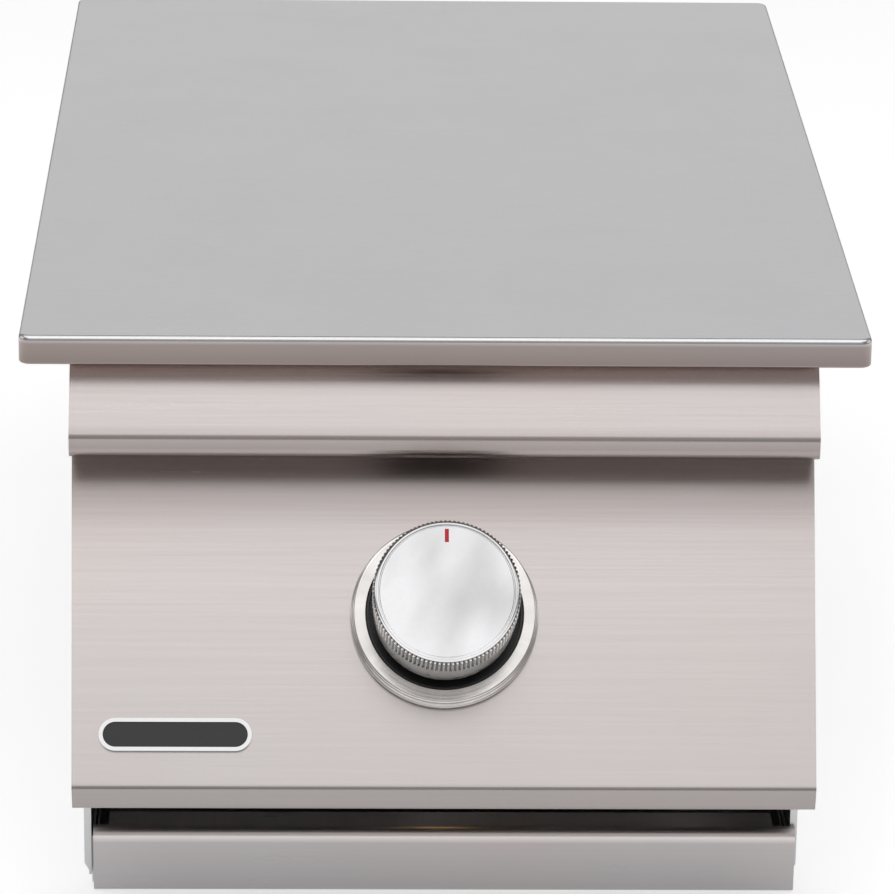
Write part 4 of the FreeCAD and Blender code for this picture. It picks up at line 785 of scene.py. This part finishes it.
@dataclass
class BadgePlate:
    """Bright pill-shaped rim with a rolled section round a plain dark field."""

    wide: float = 64.7
    tall: float = 14.2
    thick: float = 1.8
    rim: float = 1.7
    base: float = 0.3
    sink: float = 0.5
    tuck: float = 0.02

    def pill(self, name: str, inset: float, depth: float) -> Piece:
        """A flat pill, its corners rounded in full.

        Args:
            name: The piece's name.
            inset: How far its outline is drawn in.
            depth: How thick it is.

        Returns:
            The object in edit mode.
        """
        piece = begin(name, 1000.0)
        wide, tall = (self.wide - 2 * inset) * MM, (self.tall - 2 * inset) * MM
        bpy.ops.transform.resize(value=(wide, tall, 1.0))
        bpy.ops.mesh.bevel(offset=tall / 2 * 0.999, segments=24, affect="VERTICES",
                           clamp_overlap=False)
        weld(5.0e-6)
        extrude(depth)
        return piece

    def build(self) -> None:
        """Make the rim and the field."""
        rim = self.pill("badge_rim_rolled", 0.0, self.thick)
        pick(rim, "FACE", lambda point, normal: normal.z > 0.9)
        bpy.ops.mesh.inset(thickness=self.rim * MM)
        extrude(self.base - self.thick)
        dress(ON_BADGE.place(close_up(rim, 40.0, bevel=0.55, segments=4)), BADGE_CHROME, Body.BOX,
              "badge_chrome", "badge_rim")
        field = self.pill("badge_field", self.rim - self.tuck, self.thick - self.sink)
        dress(ON_BADGE.place(close_up(field, 40.0, bevel=0.15)), BADGE_BLACK, Body.BOX,
              "badge_black", "badge_plate")


def cut_hexagon(piece: Piece, corner: float, low: float, high: float) -> None:
    """Draw a turned wall of 24 columns in to a hexagon, its corners along X.

    Args:
        piece: The object in edit mode, turned about Z in 24 steps.
        corner: Radius of the wall, and of the hexagon's corners, in millimetres.
        low: Height where the hexagon begins.
        high: Height where it ends.
    """
    column = 360 / 24
    for places in ((1, 3), (2,)):
        pick(piece, "VERT", lambda point, normal: (
            abs(point.xy.length - corner) < 0.05 and low < point.z < high
            and round(math.degrees(math.atan2(point.y, point.x)) / column) % 4 in places))
        share = math.cos(math.radians(30)) / math.cos(math.radians(30 - column * places[0]))
        bpy.ops.transform.resize(value=(share, share, 1.0))


def thread(radius: float, root: float, low: float, high: float, pitch: float) -> Profile:
    """Corners of a turned thread, from low to high.

    Args:
        radius: Radius of the crests.
        root: Radius of the roots.
        low: Height where the thread begins.
        high: Height where it ends.
        pitch: Height of one turn.

    Returns:
        Radius and height of each corner.
    """
    turns = int((high - low) / pitch)
    corners = []
    for turn in range(turns):
        foot = low + turn * pitch
        corners += [(root, foot), (radius, foot + pitch * 0.4), (radius, foot + pitch * 0.6)]
    return corners + [(root, low + turns * pitch)]


@dataclass
class PanScrew:
    """Domed screw with a hexagon socket and a threaded shank, its head up."""

    shank: float
    length: float
    head: float
    tall: float

    def build(self, name: str) -> Piece:
        """One screw about the origin, its head's underside at zero."""
        socket, tip = self.head * 0.42, self.shank * 0.7
        outline = [(0.0, -self.length), (tip, -self.length),
                   *thread(self.shank, self.shank * 0.84, 0.5 - self.length, -0.6, 0.8),
                   (self.shank, -0.3), (self.shank, 0.0), (self.head, 0.0),
                   (self.head, self.tall * 0.35), (self.head * 0.9, self.tall * 0.72),
                   (self.head * 0.68, self.tall), (socket, self.tall),
                   (socket, self.tall * 0.35), (0.0, self.tall * 0.35)]
        piece = spin_up(name, outline, 24, closed=False)
        cut_hexagon(piece, socket, self.tall * 0.3, self.tall * 1.1)
        return close_up(piece, 35.0, bevel=0.06)


@dataclass
class Fasteners:
    """Screws and rivets, each kind modelled once."""

    bridge_x: float = 152.7
    bridge_y: tuple[float, float] = (45.407, 69.407)
    bridge_z: float = 153.0
    cover_yz: Profile = ((-257.705, 108.295), (-238.895, 134.185))
    rivet_x: tuple[float, ...] = (-120.0, -40.0, 40.0, 120.0)
    rivet_y: float = -258.09
    rivet_z: float = 12.75
    rivet: float = 4.0
    rivet_shank: float = 2.0
    rivet_tall: float = 1.2
    rivet_grip: float = 0.8
    thumb: Point = (0.0, -164.09, 116.85)

    def bridge_screws(self) -> None:
        """Four screws through the side walls into the burner's bridge."""
        screw = PanScrew(shank=2.5, length=8.0, head=5.0, tall=2.4).build("bridge_screw")
        stations = [Station((side * self.bridge_x, y, self.bridge_z), (0, side * 90.0, 0))
                    for side in (-1, 1) for y in self.bridge_y]
        dress(repeated(screw, stations, "bridge_screws_pan"), FASTENER_STEEL, Body.BOX,
              "fastener_steel", "bracket_screws")

    def bonnet_screws(self) -> None:
        """Two screws that hold the valve's cover plate."""
        screw = PanScrew(shank=1.5, length=11.5, head=3.0, tall=1.75).build("cover_screw")
        stations = [Station((0, y, z), ON_KNOB.turn) for y, z in self.cover_yz]
        dress(repeated(screw, stations, "cover_screws_pan"), FASTENER_STEEL, Body.BOX,
              "fastener_steel", "bonnet_screws")

    def rivets(self) -> None:
        """Four domed rivets between the drip pan and its front plate."""
        head, tall = self.rivet, self.rivet_tall
        outline = [(0.0, -self.rivet_grip), (self.rivet_shank, -self.rivet_grip),
                   (self.rivet_shank, 0.0), (head, 0.0), (head * 0.97, tall * 0.3),
                   (head * 0.8, tall * 0.68), (head * 0.5, tall * 0.93), (head * 0.24, tall),
                   (head * 0.2, tall * 0.86), (0.0, tall * 0.84)]
        rivet = close_up(spin_up("rivet", outline, 28, closed=False), 35.0, bevel=0.05)
        stations = [Station((x, self.rivet_y, self.rivet_z), (-90.0, 0, 0)) for x in self.rivet_x]
        dress(repeated(rivet, stations, "tray_rivets_domed"), FASTENER_STEEL, Body.TRAY,
              "fastener_steel", "tray_rivets")

    def thumb_screw(self) -> None:
        """The knurled screw that locks the air sleeve."""
        outline = [(0.0, -3.62), (1.3, -3.62), *thread(1.75, 1.4, -3.3, -0.3, 0.6), (1.6, 0.0),
                   (3.4, 0.0), (4.0, 0.6), (4.0, 4.3), (3.4, 5.0), (2.2, 5.0), (1.9, 4.6),
                   (0.0, 4.6)]
        piece = spin_up("thumb_screw_knurled", outline, 48, closed=False)
        draw_in_teeth(piece, teeth=24, radius=4.0, depth=0.3)
        placed = Station(self.thumb).place(close_up(piece, 25.0))
        dress(placed, FASTENER_STEEL, Body.SHUTTER, "fastener_steel", "shutter_screw")

    def build(self) -> None:
        """Make every fastener."""
        self.bridge_screws()
        self.bonnet_screws()
        self.rivets()
        self.thumb_screw()


@dataclass
class GasInlet:
    """Flare fitting at the rear, with its hexagon and thread, and the lock nut inside."""

    side: float = 120.0
    height: float = 103.9
    rear: float = 272.71
    corner: float = 12.7
    flat: float = 10.9
    room: float = 7.08
    way: float = 5.5
    flare: float = 6.2
    step: float = 3.7
    hex_tall: float = 10.0
    thread_long: float = 14.0
    crest: float = 7.95
    root: float = 7.15
    nut_tall: float = 5.0
    nut_back: float = 6.4

    def hexagon(self, tall: float, ease: float = 0.9) -> Profile:
        """Corners of a chamfered hexagon's outline."""
        return [(self.flat, 0.0), (self.corner, ease), (self.corner, tall - ease),
                (self.flat, tall)]

    def fitting(self) -> None:
        """The fitting, with a flare seat at its end."""
        tall, end = self.hex_tall, self.hex_tall + self.thread_long
        outline = [(self.room, 0.0), *self.hexagon(tall), (self.root, tall),
                   (self.root, tall + 0.8),
                   *thread(self.crest, self.root, tall + 0.8, end - 1.2, 1.41),
                   (self.root, end - 0.7), (self.flare, end), (self.way, end - 0.9),
                   (self.way, self.step), (self.room, self.step)]
        piece = spin_up("inlet_fitting_threaded", outline, 24)
        cut_hexagon(piece, self.corner, 0.5, tall)
        placed = Station((self.side, self.rear, self.height), (-90.0, 0, 0)).place(
            close_up(piece, 30.0, bevel=0.12))
        dress(placed, BRASS, Body.BOX, "brass", "gas_inlet_fitting")

    def lock_nut(self) -> None:
        """The nut against the inside of the rear wall."""
        tall = self.nut_tall
        outline = [(self.room, 0.5), (self.room + 0.5, 0.0), *self.hexagon(tall, 0.8),
                   (self.room + 0.5, tall), (self.room, tall - 0.5)]
        piece = spin_up("lock_nut_chamfered", outline, 24)
        cut_hexagon(piece, self.corner, 0.5, tall - 0.5)
        placed = Station((self.side, self.rear - self.nut_back, self.height), (-90.0, 0, 0)).place(
            close_up(piece, 30.0, bevel=0.1))
        dress(placed, BRASS, Body.BOX, "brass", "inlet_lock_nut")

    def build(self) -> None:
        """Make the fitting and its nut."""
        self.fitting()
        self.lock_nut()


@dataclass
class Hob:
    """What lies over the flame: the loose cap and the grate's rods."""

    burner_y: float = 57.407
    cap: float = 48.0
    spigot: float = 35.0
    foot: float = 207.0
    seat: float = 212.3
    top: float = 220.0
    rod: float = 3.5
    rod_front: float = -125.594
    rod_long: float = 366.0
    rods: int = 11
    pitch: float = 22.0
    rod_z: float = 232.5
    bar_y: tuple[float, float] = (-87.594, 202.406)
    bar_z: float = 226.1
    bar_long: float = 249.0

    def cap_disc(self) -> None:
        """The cap: rounded shoulder, one turned groove, faintly hollow crown."""
        out, top = self.cap, self.top
        outline = [(0.0, self.foot + 1.2), (self.spigot - 4.0, self.foot + 1.2),
                   (self.spigot - 3.0, self.foot), (self.spigot, self.foot),
                   (self.spigot, self.seat), (out, self.seat), (out, self.seat + 3.2),
                   (out - 0.7, self.seat + 4.2), (out - 3.4, top - 2.2), (out - 6.6, top - 0.6),
                   (out - 9.5, top), (out - 16.0, top), (out - 16.6, top - 0.5),
                   (out - 17.8, top - 0.5), (out - 18.4, top), (10.0, top - 0.25),
                   (0.0, top - 0.3)]
        piece = spin_up("burner_cap_turned", outline, 96, closed=False)
        placed = Station((0.0, self.burner_y, 0.0)).place(close_up(piece, 40.0, bevel=0.15))
        dress(placed, BURNER_BRASS, Body.CAP, "burner_brass", "burner_cap")

    def bar(self, name: str, length: float) -> Piece:
        """One round bar with softened ends, standing on the origin."""
        radius = self.rod
        outline = [(0.0, 0.0), (radius - 1.6, 0.0), (radius - 0.5, 0.4), (radius, 1.4),
                   (radius, length - 1.4), (radius - 0.5, length - 0.4), (radius - 1.6, length),
                   (0.0, length)]
        return close_up(spin_up(name, outline, 28, closed=False), 40.0)

    def grate(self) -> None:
        """Eleven rods over two cross bars."""
        first = -(self.rods - 1) / 2 * self.pitch
        rods = repeated(self.bar("grate_rod", self.rod_long), [
            Station((first + index * self.pitch, self.rod_front, self.rod_z), (-90.0, 0, 0))
            for index in range(self.rods)], "grate_rods")
        bars = repeated(self.bar("grate_bar", self.bar_long), [
            Station((-self.bar_long / 2, y, self.bar_z), (0, 90.0, 0)) for y in self.bar_y],
            "grate_bars")
        choose(rods, bars)
        bpy.ops.object.join()
        rods.name = "grate_rods_and_bars"
        dress(rods, GRATE_STEEL, Body.GRATE, "grate_steel", "cooking_grate")

    def build(self) -> None:
        """Make the cap and the grate."""
        self.cap_disc()
        self.grate()


@dataclass
class LidFeet:
    """Four rubber feet under the lid, with rounded lower edges."""

    side: float = 170.0
    front: float = -192.594
    rear: float = 272.406
    foot: float = 231.0
    tall: float = 1.3
    radius: float = 4.0

    def build(self) -> None:
        """Make the feet."""
        radius, tall = self.radius, self.tall
        outline = [(0.0, 0.15), (1.2, 0.0), (radius - 0.5, 0.0), (radius - 0.1, 0.25),
                   (radius, 0.6), (radius, tall), (0.0, tall)]
        foot = close_up(spin_up("lid_foot", outline, 32, closed=False), 40.0)
        stations = [Station((side * self.side, y, self.foot))
                    for side in (-1, 1) for y in (self.front, self.rear)]
        dress(repeated(foot, stations, "lid_feet_rounded"), RUBBER, Body.LID,
              "rubber_black", "lid_bumpers")


@dataclass
class ReturnSpring:
    """The spring under the knob's stem, which shortens as the knob is pressed."""

    stroke: float = 4.0

    def build(self) -> None:
        """Copy the CAD spring and close its mesh."""
        choose(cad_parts["valve_spring"])
        bpy.ops.object.duplicate(linked=False)
        spring = bpy.context.object
        label(spring, "return_spring_coil")
        bpy.ops.object.mode_set(mode="EDIT")
        weld(1.0e-6)
        close_up(spring, 50.0)
        tilt = math.radians(KNOB_TILT)
        out = Vector((0.0, -math.sin(tilt), math.cos(tilt)))
        reach = [vertex.co.dot(out) for vertex in spring.data.vertices]
        foot = Vector([value * MM for value in KNOB_PLACE])
        foot += out * (min(reach) - foot.dot(out))
        dress(spring, SPRING_STEEL, Body.BOX, "spring_steel", "valve_spring")
        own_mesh(spring)


class Carcass:
    """The CAD nodes that keep their shape: each gets its finish."""

    FINISHES: dict[Finish, tuple[str, ...]] = {
        LID_STEEL: ("lid_shell",),
        DECK_STEEL: ("cooktop_deck", "grate_frame"),
        PANEL_STEEL: ("front_lip", "lip_end_left", "lip_end_right", "control_panel",
                      "panel_cheek_left", "panel_cheek_right"),
        WALL_STEEL: ("left_wall", "right_wall", "tray_runner_left", "tray_runner_right",
                     "front_rail", "lid_ribs", "burner_bracket"),
        UPRIGHT_STEEL: ("rear_wall", "firewall"),
        TRAY_STEEL: ("drip_tray_pan", "drip_tray_front"),
        TUBE_STEEL: ("gas_pipe", "venturi_tube", "air_shutter"),
        FASTENER_STEEL: ("piezo_strap", "igniter_tab"),
        SPRING_STEEL: ("knob_clip", "spark_wire"),
        BRASS: ("valve_stem", "thrust_washer", "valve_plug", "valve_body", "gas_orifice"),
        BURNER_BRASS: ("burner_pot", "burner_head"),
        ZINC: ("knob_hub", "valve_bonnet"),
        BLACK_PLASTIC: ("recess_liner", "knob_skirt", "piezo_igniter"),
        RED_MARK: ("knob_mark",),
        CERAMIC: ("igniter_ceramic",),
        RUBBER: ("counter_seals", "bezel_gasket", "lead_grommet"),
        LEAD_SLEEVE: ("igniter_lead",),
    }

    def build(self) -> None:
        """Dress every CAD node that is still shown."""
        for finish, names in self.FINISHES.items():
            for name in names:
                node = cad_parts[name]
                for slot in node.material_slots:
                    slot.material = finish.material()
                LOG.info("%s: CAD shape in %s", name, finish.name)


@dataclass(frozen=True)
class Lamp:
    """A soft rectangular lamp that hangs at a place and faces a target."""

    name: str
    place: Point
    target: Point
    size: tuple[float, float]
    power: float

    def hang(self) -> None:
        """Add the lamp; lengths are in metres and its power in watts."""
        bpy.ops.object.light_add(type="AREA", location=self.place)
        lamp = bpy.context.object
        lamp.name = self.name
        lamp.data.shape = "RECTANGLE"
        lamp.data.size, lamp.data.size_y = self.size
        lamp.data.energy = self.power
        aim = Vector(self.target) - Vector(self.place)
        lamp.rotation_euler = aim.to_track_quat("-Z", "Y").to_euler()


@dataclass
class Studio:
    """Pale floor, a white room, soft lamps and the camera.

    The floor's sizes are in millimetres, the other places in metres, and angles in degrees.
    """

    floor_wide: float = 12000.0
    floor_middle: float = 1500.0
    sweep_tall: float = 4000.0
    sweep_radius: float = 1600.0
    floor_tone: float = 0.75
    glow: float = 0.56
    glow_reach: tuple[float, float] = (1.0, 1.9)
    glow_middle: Point = (0.0, 0.45, 0.0)
    room: float = 0.25
    eye: Point = (-0.0535, -2.1908, 0.9224)
    lens: float = 197.4
    pitch: float = 20.345
    yaw: float = 1.59
    roll: float = 0.80
    lamps: tuple[Lamp, ...] = (
        Lamp("overhead", (0.0, -0.35, 1.7), (0.0, -0.3, 0.0), (2.6, 1.7), 14.0),
        Lamp("front_high", (-0.1, -1.75, 2.1), (0.0, -0.25, 0.15), (1.9, 1.3), 6.6),
        Lamp("front_low", (0.0, -3.2, 1.3), (0.0, 0.0, 0.12), (3.2, 2.2), 5.0),
        Lamp("back_card", (0.0, 3.6, 1.5), (0.0, 0.0, 0.25), (4.2, 2.2), 15.0),
        Lamp("left_card", (-3.2, 0.0, 1.3), (0.0, 0.0, 0.15), (3.0, 2.0), 13.0),
        Lamp("right_card", (3.2, 0.0, 1.3), (0.0, 0.0, 0.15), (3.0, 2.0), 13.0),
    )

    def floor(self) -> None:
        """A wide pale floor that sweeps up behind the object."""
        piece = begin("studio_floor", self.floor_wide, (0, self.floor_middle, 0))
        rear = self.floor_middle + self.floor_wide / 2 - 1.0
        pick(piece, "EDGE", lambda point, way: point.y > rear)
        extrude(self.sweep_tall)
        pick(piece, "EDGE", lambda point, way: point.y > rear and point.z < 1.0)
        bpy.ops.mesh.bevel(offset=self.sweep_radius * MM, segments=12, affect="EDGES")
        close_up(piece, 30.0)
        nodes = Nodes("studio_floor")
        mottle = nodes.span(nodes.noise(nodes.place, 3.0, 2.0), 0.0, 1.0)
        tones = [(tone, tone, tone) for tone in (self.floor_tone, self.floor_tone * 1.01)]
        nodes.coat(nodes.blend(mottle, *tones), 0.9, metal=0.0)
        nodes.fill(nodes.shader, Specular_IOR_Level=0.1)
        self.light_up(nodes)
        piece.data.materials.append(nodes.material)

    def light_up(self, nodes: Nodes) -> None:
        """Paint a pool of light on the floor near the object: it glows for camera, glossy and
        transmission rays, with its shadow kept.

        Args:
            nodes: The floor's tree.
        """
        rays = nodes.add("ShaderNodeLightPath").outputs
        seen = nodes.compute("MAXIMUM", rays["Is Camera Ray"], rays["Is Glossy Ray"])
        seen = nodes.compute("MAXIMUM", seen, rays["Is Transmission Ray"])
        # Painted pool of light: full glow within the near reach of the middle, fading to none at
        # the far reach.
        away = nodes.compute("DISTANCE", nodes.place, self.glow_middle, vector=True)
        glow = nodes.compute("MULTIPLY", nodes.span(away, self.glow, 0.0, *self.glow_reach), seen)
        nodes.fill(nodes.shader, Emission_Color=(1.0, 1.0, 1.0, 1.0), Emission_Strength=glow)

    def world(self) -> None:
        """An even white room."""
        world = bpy.data.worlds.new("studio")
        bpy.context.scene.world = world
        world.use_nodes = True
        back = world.node_tree.nodes["Background"]
        back.inputs["Color"].default_value = (1, 1, 1, 1)
        back.inputs["Strength"].default_value = self.room

    def camera(self) -> None:
        """The photograph's viewpoint."""
        bpy.ops.object.camera_add(location=self.eye)
        camera = bpy.context.object
        turned = Euler((math.radians(90 - self.pitch), 0, math.radians(-self.yaw))).to_matrix()
        roll = Matrix.Rotation(math.radians(self.roll), 3, "Z")
        camera.rotation_euler = (turned @ roll).to_euler()
        camera.data.lens = self.lens
        camera.data.sensor_width = 36.0
        camera.data.clip_end = 60.0
        bpy.context.scene.camera = camera

    def build(self) -> None:
        """Set the stage."""
        bpy.context.scene.view_settings.view_transform = "Standard"
        self.floor()
        self.world()
        for lamp in self.lamps:
            lamp.hang()
        self.camera()


def main() -> None:
    """Build and dress the burner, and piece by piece."""
    logging.basicConfig(level=logging.INFO, format="%(message)s")
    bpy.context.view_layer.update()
    for group in (Carcass(), ControlKnob(), KnobBezel(), BadgePlate(), Fasteners(), GasInlet(),
                  Hob(), LidFeet(), ReturnSpring(), Studio()):
        group.build()


if __name__ == "__main__":
    main()
